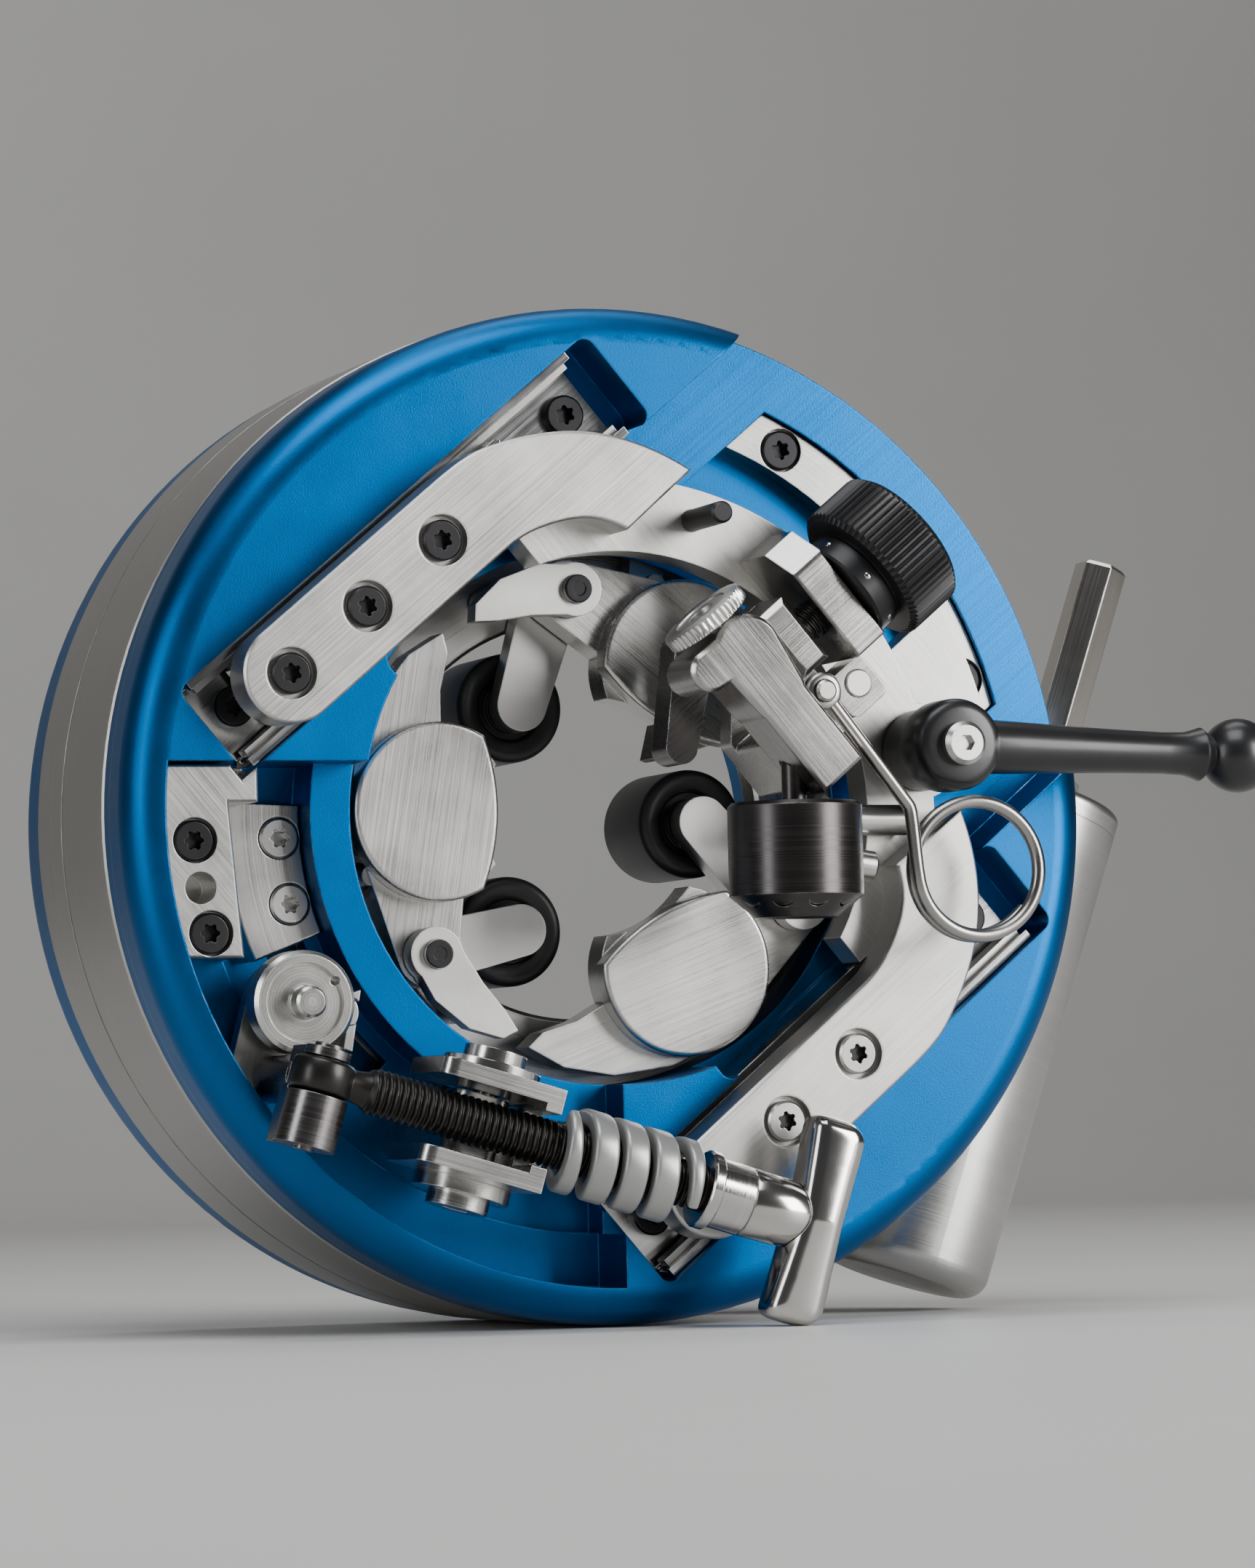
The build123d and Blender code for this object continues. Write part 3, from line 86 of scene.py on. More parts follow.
# ------------------------------------------------------------------ materials
class Finish:
    """A Principled material with its grain, lines and worn edges in node form."""

    def __init__(self, name):
        self.mat = bpy.data.materials.new(name)
        self.mat.use_nodes = True
        self.tree = self.mat.node_tree
        self.tree.nodes.clear()
        out = self.add("ShaderNodeOutputMaterial")
        self.bsdf = self.add("ShaderNodeBsdfPrincipled")
        self.tree.links.new(self.bsdf.outputs["BSDF"], out.inputs["Surface"])
        self.where = self.add("ShaderNodeTexCoord").outputs["Object"]

    def add(self, kind, **settings):
        made = self.tree.nodes.new(kind)
        for key, value in settings.items():
            setattr(made, key, value)
        return made

    def put(self, socket, value):
        if isinstance(value, bpy.types.NodeSocket):
            self.tree.links.new(value, socket)
        else:
            socket.default_value = value

    def math(self, operation, a, b=0.0, c=0.0, clamp=False):
        made = self.add("ShaderNodeMath", operation=operation, use_clamp=clamp)
        for socket, value in zip(made.inputs, (a, b, c)):
            self.put(socket, value)
        return made.outputs[0]

    def vector(self, operation, a, b=(0, 0, 0)):
        made = self.add("ShaderNodeVectorMath", operation=operation)
        self.put(made.inputs[0], a)
        self.put(made.inputs[1], b)
        return made.outputs["Value" if operation in ("DOT_PRODUCT", "LENGTH") else "Vector"]

    def combine(self, x, y, z):
        made = self.add("ShaderNodeCombineXYZ")
        for socket, value in zip(made.inputs, (x, y, z)):
            self.put(socket, value)
        return made.outputs[0]

    def noise(self, at, scale, detail=3.0, rough=0.55):
        made = self.add("ShaderNodeTexNoise")
        self.put(made.inputs["Vector"], at)
        made.inputs["Scale"].default_value = scale
        made.inputs["Detail"].default_value = detail
        made.inputs["Roughness"].default_value = rough
        return made.outputs["Fac"]

    def span(self, value, low, high, to_low=0.0, to_high=1.0):
        made = self.add("ShaderNodeMapRange", clamp=True)
        for socket, number in zip(made.inputs, (value, low, high, to_low, to_high)):
            self.put(socket, number)
        return made.outputs[0]

    def mix(self, factor, a, b):
        made = self.add("ShaderNodeMix", data_type="RGBA")
        self.put(made.inputs["Factor"], factor)
        self.put(made.inputs["A"], a)
        self.put(made.inputs["B"], b)
        return made.outputs["Result"]

    def tone(self, colour, amount):
        """colour times a grey amount"""
        made = self.add("ShaderNodeMix", data_type="RGBA", blend_type="MULTIPLY")
        made.inputs["Factor"].default_value = 1.0
        self.put(made.inputs["A"], colour)
        self.put(made.inputs["B"], self.combine(amount, amount, amount))
        return made.outputs["Result"]

    def along(self, direction, fine, coarse):
        """Coordinates that make a noise run in lines along a direction."""
        d = Vector(direction).normalized()
        side = d.cross(Y_DIR if abs(d.y) < 0.9 else Vector((1, 0, 0))).normalized()
        up = d.cross(side)
        parts = []
        for axis, scale in ((d, coarse), (side, fine), (up, fine)):
            parts.append(self.math("MULTIPLY", self.vector("DOT_PRODUCT", self.where, axis), scale))
        return self.combine(*parts)

    def around(self, origin, axis, fine):
        """Coordinates that make a noise run in turned rings about an axis."""
        axis = Vector(axis).normalized()
        away = self.vector("SUBTRACT", self.where, Vector(origin) * MM)
        run = self.vector("DOT_PRODUCT", away, axis)
        scaled = self.add("ShaderNodeVectorMath", operation="SCALE")
        scaled.inputs[0].default_value = axis
        self.put(scaled.inputs["Scale"], run)
        radius = self.vector("LENGTH", self.vector("SUBTRACT", away, scaled.outputs["Vector"]))
        return self.combine(self.math("MULTIPLY", run, fine), self.math("MULTIPLY", radius, fine), 0.0)


def rgb(r, g, b):
    return (r, g, b, 1.0)


def finish(name, colour, rough, metallic=1.0, lines=None, line_depth=0.25, grain=0.0, grain_size=2600.0,
           vary=0.08, worn=None, worn_amount=0.7, edge=0.35, smudge=0.05, coat=0.0, land=False, socket=None):
    """lines is ("along", direction) or ("around", origin, axis). edge is the softened edge radius in mm."""
    f = Finish(name)
    cloud = f.noise(f.where, 38.0, 4.0, 0.6)
    fine = f.noise(f.where, grain_size, 2.0, 0.6)
    tone = f.span(cloud, 0.3, 0.7, 1.0 - vary, 1.0 + vary * 0.6)
    rough_now = f.span(cloud, 0.3, 0.75, rough - smudge, rough + smudge)
    height = f.math("MULTIPLY", fine, grain)
    if lines:
        if lines[0] == "along":
            at = f.along(lines[1], 3400.0, 30.0)
            at_wide = f.along(lines[1], 760.0, 14.0)
        else:
            at = f.around(lines[1], lines[2], 3000.0)
            at_wide = f.around(lines[1], lines[2], 420.0)
        streak = f.noise(at, 1.0, 4.0, 0.62)
        band = f.noise(at_wide, 1.0, 2.0, 0.5)
        tone = f.math("MULTIPLY", tone, f.span(streak, 0.25, 0.75, 0.88, 1.06))
        tone = f.math("MULTIPLY", tone, f.span(band, 0.3, 0.7, 0.965, 1.025))
        rough_now = f.math("ADD", rough_now, f.span(streak, 0.2, 0.8, -0.07, 0.09))
        height = f.math("ADD", height, f.math("MULTIPLY", streak, line_depth))
    if land:
        # the milled land and plates behind the raised face show fine cutter lines
        y_now = f.vector("DOT_PRODUCT", f.where, Y_DIR)
        inside = f.math("MULTIPLY", f.span(y_now, *LAND_IN), f.span(y_now, *LAND_OUT, 1.0, 0.0))
        milled = f.noise(f.along(E_DIR, 1500.0, 20.0), 1.0, 3.0, 0.6)
        tone = f.math("ADD", tone, f.math("MULTIPLY", inside, f.span(milled, 0.3, 0.7, -0.05, 0.18)))
        height = f.math("ADD", height, f.math("MULTIPLY", f.math("MULTIPLY", milled, inside), 0.35))
        rough_now = f.math("SUBTRACT", rough_now, f.math("MULTIPLY", inside, 0.07))
    if socket:
        # painted shade: what lies deeper than the screw head's face is darkened to a tenth, standing in for
        # the shade inside the socket
        depth = f.vector("DOT_PRODUCT", f.where, Y_DIR)
        tone = f.math("MULTIPLY", tone, f.span(depth, socket * MM, (socket + 0.35) * MM, 1.0, 0.10))
    shade = f.tone(colour, tone)
    soft = f.add("ShaderNodeBevel", samples=4)
    soft.inputs["Radius"].default_value = edge * MM
    if worn:
        # rub marks only on edges, broken up by noise
        flat = f.add("ShaderNodeNewGeometry").outputs["Normal"]
        facing = f.vector("DOT_PRODUCT", soft.outputs["Normal"], flat)
        rim = f.span(facing, 0.995, 0.86, 0.0, 1.0)
        patch = f.span(f.noise(f.where, 210.0, 4.0, 0.7), 0.42, 0.66)
        rub = f.math("MULTIPLY", f.math("MULTIPLY", rim, patch), worn_amount, clamp=True)
        shade = f.mix(rub, shade, worn)
        rough_now = f.math("SUBTRACT", rough_now, f.math("MULTIPLY", rub, 0.08))
    bump = f.add("ShaderNodeBump")
    bump.inputs["Strength"].default_value = 0.35
    bump.inputs["Distance"].default_value = 0.00006
    f.put(bump.inputs["Height"], height)
    f.put(bump.inputs["Normal"], soft.outputs["Normal"])
    f.put(f.bsdf.inputs["Base Color"], shade)
    f.put(f.bsdf.inputs["Roughness"], f.math("MAXIMUM", rough_now, 0.05))
    f.put(f.bsdf.inputs["Normal"], bump.outputs["Normal"])
    f.bsdf.inputs["Metallic"].default_value = metallic
    if coat:
        f.bsdf.inputs["Coat Weight"].default_value = coat
        f.bsdf.inputs["Coat Roughness"].default_value = 0.12
    return f.mat


BRIGHT = rgb(0.80, 0.79, 0.76)

blue = finish("blue_anodised", rgb(0.0, 0.11, 0.32), 0.40, metallic=1.0, grain=1.3, grain_size=2900,
              vary=0.08, worn=rgb(0.25, 0.42, 0.58), worn_amount=0.55, edge=0.5, land=True)
blue_rear = finish("blue_anodised_rear", rgb(0.0, 0.115, 0.335), 0.42, metallic=1.0, grain=1.3,
                   grain_size=2900, vary=0.07, worn=rgb(0.25, 0.42, 0.58), worn_amount=0.55, edge=0.5)
turned_ring = finish("ring_steel", rgb(0.43, 0.42, 0.40), 0.36, lines=("around", (0, 0, 0), Y_DIR),
                     line_depth=0.5, worn=BRIGHT, worn_amount=0.5)
slide_brush = finish("brushed_along", rgb(0.60, 0.59, 0.565), 0.34, lines=("along", E_DIR), line_depth=0.45,
                     grain=0.2, worn=rgb(0.9, 0.9, 0.88), worn_amount=0.4, edge=0.6)
cross_brush = finish("brushed_across", rgb(0.60, 0.59, 0.565), 0.33, lines=("along", F_DIR), line_depth=0.4,
                     grain=0.2, worn=rgb(0.9, 0.9, 0.88), worn_amount=0.4)
ground = finish("ground_steel", rgb(0.56, 0.55, 0.53), 0.30, lines=("around", (0, 0, 0), Y_DIR),
                line_depth=0.3, grain=0.25, worn=rgb(0.9, 0.9, 0.88), worn_amount=0.4)
link_metal = finish("jaw_link", rgb(0.63, 0.62, 0.60), 0.36, grain=0.55, vary=0.08, worn=BRIGHT,
                    worn_amount=0.3)
screw_steel = finish("screw_steel", rgb(0.60, 0.59, 0.57), 0.30, grain=0.35, edge=0.2, worn=BRIGHT,
                     worn_amount=0.5)
# socket=-10.45 paints shade into these screws' sockets, below the head face
arm_screw_steel = finish("arm_screw_steel", rgb(0.60, 0.59, 0.57), 0.30, grain=0.35, edge=0.2, worn=BRIGHT,
                         worn_amount=0.5, socket=-10.45)
black_steel = finish("black_oxide", rgb(0.030, 0.029, 0.031), 0.38, metallic=0.75, grain=0.5, vary=0.2,
                     edge=0.25, worn=rgb(0.34, 0.32, 0.30), worn_amount=0.65)
rail = finish("rail_chrome", rgb(0.72, 0.72, 0.71), 0.17, lines=("along", E_DIR), line_depth=0.15,
              edge=0.25, worn=BRIGHT, worn_amount=0.3)
polished = finish("polished_steel", rgb(0.60, 0.575, 0.55), 0.15, grain=0.12, grain_size=900, smudge=0.04,
                  edge=0.4)
spring_grey = finish("spring_coat", rgb(0.36, 0.36, 0.35), 0.36, metallic=0.55, grain=0.5,
                     grain_size=1600, vary=0.08, worn=rgb(0.62, 0.61, 0.60), worn_amount=0.6, coat=0.25)
barrel = finish("gearbox_barrel", rgb(0.56, 0.555, 0.54), 0.33, lines=("around", GEAR_AT, GEAR_DIR),
                line_depth=0.4, worn=BRIGHT, worn_amount=0.4)
shaft = finish("drive_hex", rgb(0.66, 0.63, 0.58), 0.22, lines=("along", GEAR_DIR), line_depth=0.25,
               worn=BRIGHT)
bronze = finish("bearing_bronze", rgb(0.46, 0.29, 0.12), 0.30, lines=("around", (0, 0, 0), Y_DIR),
                line_depth=0.3)
grip = finish("black_knurl", rgb(0.022, 0.022, 0.023), 0.34, metallic=0.55, grain=0.4, edge=0.15,
              worn=rgb(0.22, 0.21, 0.20), worn_amount=0.5)
gloss = finish("lever_black", rgb(0.010, 0.010, 0.011), 0.34, metallic=0.0, grain=0.5, grain_size=900,
               edge=0.5, vary=0.1, coat=0.12)
rubber = finish("roller_rubber", rgb(0.018, 0.018, 0.018), 0.46, metallic=0.0, grain=0.9, grain_size=1500,
                vary=0.15, edge=0.4, worn=rgb(0.06, 0.06, 0.06), worn_amount=0.5)
thread_steel = finish("thread_black", rgb(0.040, 0.038, 0.036), 0.32, metallic=0.85, grain=0.4, edge=0.12,
                      worn=rgb(0.35, 0.33, 0.31), worn_amount=0.6)
wire_satin = finish("pull_ring_wire", rgb(0.36, 0.345, 0.33), 0.27, grain=0.4, grain_size=1500, edge=0.2)
dark_blade = finish("blade_steel", rgb(0.20, 0.19, 0.185), 0.28, lines=("along", E_DIR), line_depth=0.35,
                    worn=BRIGHT)


def puck_brush(k):
    d = polar(1.0, JAW_DEG[k] + 82, 0)
    return finish("puck_%d" % (k + 1), rgb(0.60, 0.59, 0.565), 0.30, lines=("along", d), line_depth=0.45,
                  grain=0.2, worn=rgb(0.9, 0.9, 0.88), worn_amount=0.5, edge=0.5)


def turned_part(name, origin, axis, colour=(0.64, 0.63, 0.60), rough=0.27):
    return finish(name, rgb(*colour), rough, lines=("around", origin, axis), line_depth=0.4, edge=0.3,
                  worn=rgb(0.9, 0.9, 0.88), worn_amount=0.4)


head_brush = finish("head_steel", rgb(0.47, 0.46, 0.44), 0.23, lines=("along", E_DIR), line_depth=0.35,
                    edge=0.45, worn=rgb(0.88, 0.87, 0.85), worn_amount=0.5)
knife_brush = finish("knife_bar_steel", rgb(0.40, 0.385, 0.37), 0.22, lines=("along", F_DIR),
                     line_depth=0.4, edge=0.7, worn=rgb(0.88, 0.87, 0.85), worn_amount=0.5)
crank_turned = turned_part("crank_knob_steel", (-69.3, 0, -38.0), Y_DIR)
crank_sheet = finish("crank_plate_steel", rgb(0.62, 0.61, 0.58), 0.30, lines=("along", (0.3, 0, 1)),
                     line_depth=0.35)
boss_turned = turned_part("fork_boss_steel", tuple(bolt_point(38.5, 0, -15.0)), C_DIR, rough=0.22)
fork_brush = finish("fork_steel", rgb(0.58, 0.57, 0.55), 0.24, lines=("along", T_DIR), line_depth=0.3,
                    worn=BRIGHT)
hub_polish = turned_part("hub_steel", tuple(EYE), T_DIR, (0.62, 0.60, 0.58), 0.16)
drum_turned = turned_part("drum_steel", (26.0, -28.6, 0), (0, 0, 1), (0.075, 0.07, 0.068), 0.32)
wheel_dark = finish("thumb_wheel_steel", rgb(0.34, 0.33, 0.31), 0.26, grain=0.4, edge=0.15, worn=BRIGHT)
clevis_steel = turned_part("clevis_steel", tuple(EYE), C_DIR, (0.20, 0.19, 0.185), 0.28)
cam_dark = finish("cam_steel", rgb(0.40, 0.39, 0.37), 0.32, lines=("around", (0, 0, 0), Y_DIR),
                  line_depth=0.3, worn=BRIGHT)

PAINT = {
    "front_body": blue, "rear_ring": blue_rear, "stator_ring": turned_ring, "bearings": bronze,
    "gearbox_housing": barrel, "gearbox_cap": barrel, "gearbox_screws": black_steel, "worm": screw_steel,
    "drive_shaft": shaft, "worm_wheel": bronze, "jaw_carrier": ground, "rails": rail,
    "ball_strips": screw_steel, "arc_plates": ground, "side_block": cross_brush,
    "black_screws": black_steel, "trench_screws": screw_steel, "fork_lug": fork_brush,
    "cam_ring": cam_dark, "crank_plate": crank_sheet, "crank_knob": crank_turned,
    "eye_clevis": clevis_steel, "jaw_1": puck_brush(0), "jaw_2": puck_brush(1), "jaw_3": puck_brush(2),
    "link_1": link_metal, "link_2": link_metal, "link_3": link_metal, "roller_1": rubber,
    "roller_2": rubber, "roller_3": rubber, "swing_bolt": thread_steel, "handle_hub": hub_polish,
    "spring": spring_grey, "t_handle": polished, "fork": fork_brush, "fork_bosses": boss_turned,
    "arm_a": slide_brush, "arm_b": slide_brush, "sliders": rail, "arm_screws_a": black_steel,
    "arm_screws_b": arm_screw_steel, "bridge": cross_brush, "stop_pin": black_steel,
    "screw_block": head_brush, "slide_pins": screw_steel, "carriage": head_brush,
    "nut_block": head_brush, "knife_bar": knife_brush, "blade_holder": dark_blade, "blade": dark_blade,
    "carriage_pins": screw_steel, "feed_knob": grip, "feed_screw": thread_steel,
    "thumb_wheel": wheel_dark, "index_drum": drum_turned, "ball_lever": gloss,
    "lever_screw": screw_steel, "pull_ring": screw_steel,
}
for node_name, node in NODES.items():
    if node_name in PAINT:
        node.data.materials.clear()
        node.data.materials.append(PAINT[node_name])


# ------------------------------------------------------------------ mesh helpers
def mesh_object(name, verts, faces, material, body, stands_for=(), smooth=38):
    data = bpy.data.meshes.new(name)
    data.from_pydata([tuple(Vector(v) * MM) for v in verts], [], faces)
    data.validate()
    data.polygons.foreach_set("use_smooth", [True] * len(data.polygons))
    data.set_sharp_from_angle(angle=radians(smooth))
    data.materials.append(material)
    made = bpy.data.objects.new(name, data)
    bpy.context.scene.collection.objects.link(made)
    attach(made, body)
    for node in stands_for:
        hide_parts(node)
    return made


def basis(axis):
    axis = Vector(axis).normalized()
    side = axis.cross(Vector((0, 1, 0)) if abs(axis.y) < 0.9 else Vector((0, 0, 1))).normalized()
    return side, axis.cross(side), axis


class Shape:
    """Collects vertices and faces of one piece."""

    def __init__(self):
        self.verts = []
        self.faces = []

    def ring_of(self, points):
        start = len(self.verts)
        self.verts.extend(points)
        return list(range(start, start + len(points)))

    def bridge(self, a, b, closed=True):
        n = len(a)
        for i in range(n if closed else n - 1):
            j = (i + 1) % n
            self.faces.append((a[i], b[i], b[j], a[j]))

    def loft(self, rings, caps=True, loop=False):
        rows = [self.ring_of(points) for points in rings]
        for a, b in zip(rows, rows[1:]):
            self.bridge(a, b)
        if loop:
            self.bridge(rows[-1], rows[0])
        elif caps:
            self.faces.append(tuple(rows[0]))
            self.faces.append(tuple(reversed(rows[-1])))

    def lathe(self, origin, axis, profile, segs=96, wave=None, loop=False):
        """profile is a list of (distance along the axis, radius); a radius of 0 closes an end."""
        side, up, axis = basis(axis)
        origin = Vector(origin)
        rows = []
        for index, (t, r) in enumerate(profile):
            if r <= 1e-6:
                rows.append(self.ring_of([origin + axis * t]))
                continue
            points = []
            for k in range(segs):
                a = 2 * pi * k / segs
                real = wave(a, index, t, r) if wave else r
                points.append(origin + axis * t + side * (real * cos(a)) + up * (real * sin(a)))
            rows.append(self.ring_of(points))
        pairs = list(zip(rows, rows[1:]))
        if loop:
            pairs.append((rows[-1], rows[0]))
        for a, b in pairs:
            if len(a) == 1 and len(b) == 1:
                continue
            if len(a) == 1:
                for k in range(segs):
                    self.faces.append((a[0], b[k], b[(k + 1) % segs]))
            elif len(b) == 1:
                for k in range(segs):
                    self.faces.append((a[k], b[0], a[(k + 1) % segs]))
            else:
                self.bridge(a, b)

    def thread(self, origin, axis, t0, t1, radius, pitch, segs=48, steps=10, depth=0.6):
        """A rod with a true helical thread, chamfered at both ends."""
        side, up, axis = basis(axis)
        origin = Vector(origin)
        count = int((t1 - t0) / pitch * steps)
        rows = [self.ring_of([origin + axis * t0])]
        for i in range(count + 1):
            t = t0 + (t1 - t0) * i / count
            end = min((t - t0), (t1 - t)) / (0.8 * pitch)
            points = []
            for k in range(segs):
                a = 2 * pi * k / segs
                phase = (t / pitch - a / (2 * pi)) % 1.0
                wave = abs(2 * phase - 1)
                cut = depth * min(1.0, max(0.0, wave * 1.45 - 0.2))
                real = radius - cut
                real = min(real, radius - depth * 1.1 + depth * 1.1 * min(1.0, max(0.0, end)))
                points.append(origin + axis * t + side * (real * cos(a)) + up * (real * sin(a)))
            rows.append(self.ring_of(points))
        rows.append(self.ring_of([origin + axis * t1]))
        for k in range(segs):
            self.faces.append((rows[0][0], rows[1][k], rows[1][(k + 1) % segs]))
            self.faces.append((rows[-2][k], rows[-1][0], rows[-2][(k + 1) % segs]))
        for a, b in zip(rows[1:-1], rows[2:-1]):
            self.bridge(a, b)

    def done(self, name, material, body, stands_for=(), smooth=38):
        return mesh_object(name, self.verts, self.faces, material, body, stands_for, smooth)


# ------------------------------------------------------------------ rollers
ROLLER_R, ROLLER_TURN = 27.0, 60     # where a roller sits, from the ring axis and from its jaw
TYRE_NEAR, TYRE_FAR = 31.0, 55.0     # the tyre's ends along the ring axis
TYRE_FLAT, TYRE_ROUND = 9.6, 1.9     # radius of its flat end, and of its rounded corner
CORNER_STEPS = 6

for k in range(3):
    body = "wheel_" + "abc"[k]
    at = polar(ROLLER_R, JAW_DEG[k] + ROLLER_TURN, 0)
    tyre = Shape()
    profile = [(31.9, 7.2), (31.2, 8.6)]
    for i in range(CORNER_STEPS + 1):
        a = pi / 2 * i / CORNER_STEPS
        profile.append((TYRE_NEAR + TYRE_ROUND - TYRE_ROUND * cos(a), TYRE_FLAT + TYRE_ROUND * sin(a)))
    for i in range(CORNER_STEPS + 1):
        a = pi / 2 * i / CORNER_STEPS
        profile.append((TYRE_FAR - TYRE_ROUND + TYRE_ROUND * sin(a), TYRE_FLAT + TYRE_ROUND * cos(a)))
    profile += [(54.8, 8.6), (54.0, 7.2)]
    tyre.lathe(at, Y_DIR, profile, loop=True)
    tyre.done("roller_tyre_%d" % (k + 1), rubber, body, ("roller_%d" % (k + 1),))
    core = Shape()
    core_profile = [(32.4, 3.15), (32.1, 3.5), (32.1, 5.0), (32.7, 5.4), (32.7, 6.6), (32.2, 7.15),
                    (53.7, 7.15), (53.2, 6.6), (53.2, 5.4), (53.8, 5.0), (53.8, 3.5), (53.5, 3.15)]
    core.lathe(at, Y_DIR, core_profile, loop=True)
    core.done("roller_core_%d" % (k + 1), black_steel, body)

# ------------------------------------------------------------------ black heads of the jaw pins
JAW_PIN_R, JAW_PIN_TURN = 47.0, 38.4
HEAD_PROFILE = [(-8.65, 0.0), (-8.65, 2.9), (-8.0, 2.9), (-7.8, 2.7), (-7.8, 1.55), (-8.02, 1.4),
                (-8.02, 0.0)]

for k in range(3):
    head = Shape()
    head.lathe(polar(JAW_PIN_R, JAW_DEG[k] + JAW_PIN_TURN, 0), N_DIR, HEAD_PROFILE, segs=48)
    head.done("jaw_pin_head_%d" % (k + 1), black_steel, "rotor")

# ------------------------------------------------------------------ swing bolt, spring and handle
EYE_PROFILE = [(-3.4, 2.1), (-3.4, 5.3), (-3.1, 5.9), (-2.5, 6.35), (2.5, 6.35), (3.1, 5.9), (3.4, 5.3),
               (3.4, 2.1)]
SHANK_PROFILE = [(4.4, 0.0), (4.4, 3.2), (7.0, 3.2), (8.6, 3.5), (10.4, 4.0), (10.4, 0.0)]
BOLT_R, BOLT_PITCH = 4.78, 1.5
BOLT_FROM, BOLT_TO = 9.4, 95.0

rod = Shape()
rod.lathe(EYE, C_DIR, EYE_PROFILE, segs=64, loop=True)
rod.lathe(EYE, T_DIR, SHANK_PROFILE, segs=48)
rod.thread(EYE, T_DIR, BOLT_FROM, BOLT_TO, BOLT_R, BOLT_PITCH, depth=0.78)
rod.done("swing_bolt_thread", thread_steel, "bolt", ("swing_bolt",), smooth=50)


def section_box(center, a_dir, b_dir, half_a, half_b, corner, per=4):
    """Outline of a rounded rectangle."""
    pts = []
    for quarter, (sa, sb) in enumerate(((1, 1), (-1, 1), (-1, -1), (1, -1))):
        for i in range(per + 1):
            a = pi / 2 * (quarter + i / per)
            pts.append(center + a_dir * (sa * (half_a - corner) + corner * cos(a))
                       + b_dir * (sb * (half_b - corner) + corner * sin(a)))
    return pts


coil = Shape()
spring_lo, spring_hi = 48.3, 81.9
wire_w, wire_t, spring_mid = 3.35, 5.2, 7.3
turns = 4.25
start_turn = 0.6     # where the wire begins, radians round the bolt
rise = spring_hi - spring_lo - wire_t
rings = []
steps = 260
for i in range(steps + 1):
    u = i / steps
    a = 2 * pi * turns * u + start_turn
    t = spring_lo + wire_t / 2 + rise * u
    out = C_DIR * cos(a) + N_DIR * sin(a)
    turn_dir = (N_DIR * cos(a) - C_DIR * sin(a)) * (spring_mid * 2 * pi * turns) + T_DIR * rise
    across = turn_dir.normalized().cross(out).normalized()
    thin = 0.42 + 0.58 * min(1.0, min(u, 1 - u) * turns * 1.6)     # ground flat at both ends
    center = EYE + T_DIR * t + out * spring_mid
    rings.append(section_box(center, out, across, wire_w / 2, wire_t / 2 * thin, 0.9))
coil.loft(rings)
coil.done("flat_wire_spring", spring_grey, "nut", ("spring",), smooth=45)

WING_HALF = 21.2                         # from the bolt's axis to a wing tip
WING_INNER, WING_OUTER = 103.0, 112.6    # its near and far sides, from the eye
WING_HALF_N = 6.3                        # half of its width at the middle
WING_SECTIONS = 80
TIP_FROM, TIP_SHARE = 0.80, 0.20         # the last fifth of each wing is rounded off

wing = Shape()
rings = []
for i in range(WING_SECTIONS + 1):
    c = -WING_HALF + 2 * WING_HALF * i / WING_SECTIONS
    u = abs(c) / WING_HALF
    inner = WING_INNER - 1.6 * u
    outer = WING_OUTER + 0.9 * min(1.0, u * 1.6)
    half_n = WING_HALF_N - 1.2 * u
    if u > TIP_FROM:
        turned = ((u - TIP_FROM) / TIP_SHARE) ** 2
        outer -= 4.4 * (1 - (1 - min(turned, 1.0)) ** 0.5)
        inner += 2.2 * (1 - (1 - min(turned ** 2, 1.0)) ** 0.5)
        half_n *= 1 - 0.5 * turned ** 2
    half_t = (outer - inner) / 2
    center = EYE + T_DIR * ((inner + outer) / 2) + C_DIR * c
    rings.append(section_box(center, T_DIR, N_DIR, half_t, half_n, min(half_t, half_n) * 0.62, per=5))
wing.loft(rings)
neck = [(92.0, 4.95), (92.0, 6.6), (92.5, 7.0), (99.5, 6.95), (101.6, 6.7), (103.6, 6.3), (105.6, 5.6),
        (107.6, 4.2), (107.6, 0.0)]
wing.lathe(EYE, T_DIR, neck, segs=64)
wing.done("t_handle_wing", polished, "handle", ("t_handle",), smooth=60)

# ------------------------------------------------------------------ feed screw and knurled knob
SCREW = slide_point(0, 6.0, -14.0)
FEED_FROM, FEED_TO = 38.8, 79.9
FEED_R, FEED_PITCH = 3.98, 1.25
lead_screw = Shape()
lead_screw.thread(SCREW, E_DIR, FEED_FROM, FEED_TO, FEED_R, FEED_PITCH)
lead_screw.done("feed_screw_thread", thread_steel, "knob", ("feed_screw",), smooth=50)

FLUTES = 64
DETENTS, DETENT_S, DETENT_R = 6, 64.3, 10.4     # collar balls: count, place on the screw, radius
DETENT_PROFILE = [(0.3, 0.0), (0.3, 1.1), (0.75, 0.95), (1.05, 0.55), (1.15, 0.0)]


def knurl(depth, flutes, rows):
    """A wave for Shape.lathe that cuts flutes into the given rows of a profile."""
    def wave(a, index, t, r):
        if index not in rows:
            return r
        phase = (a * flutes / (2 * pi)) % 1.0
        return r - depth * min(1.0, max(0.0, abs(2 * phase - 1) * 1.7 - 0.35))
    return wave


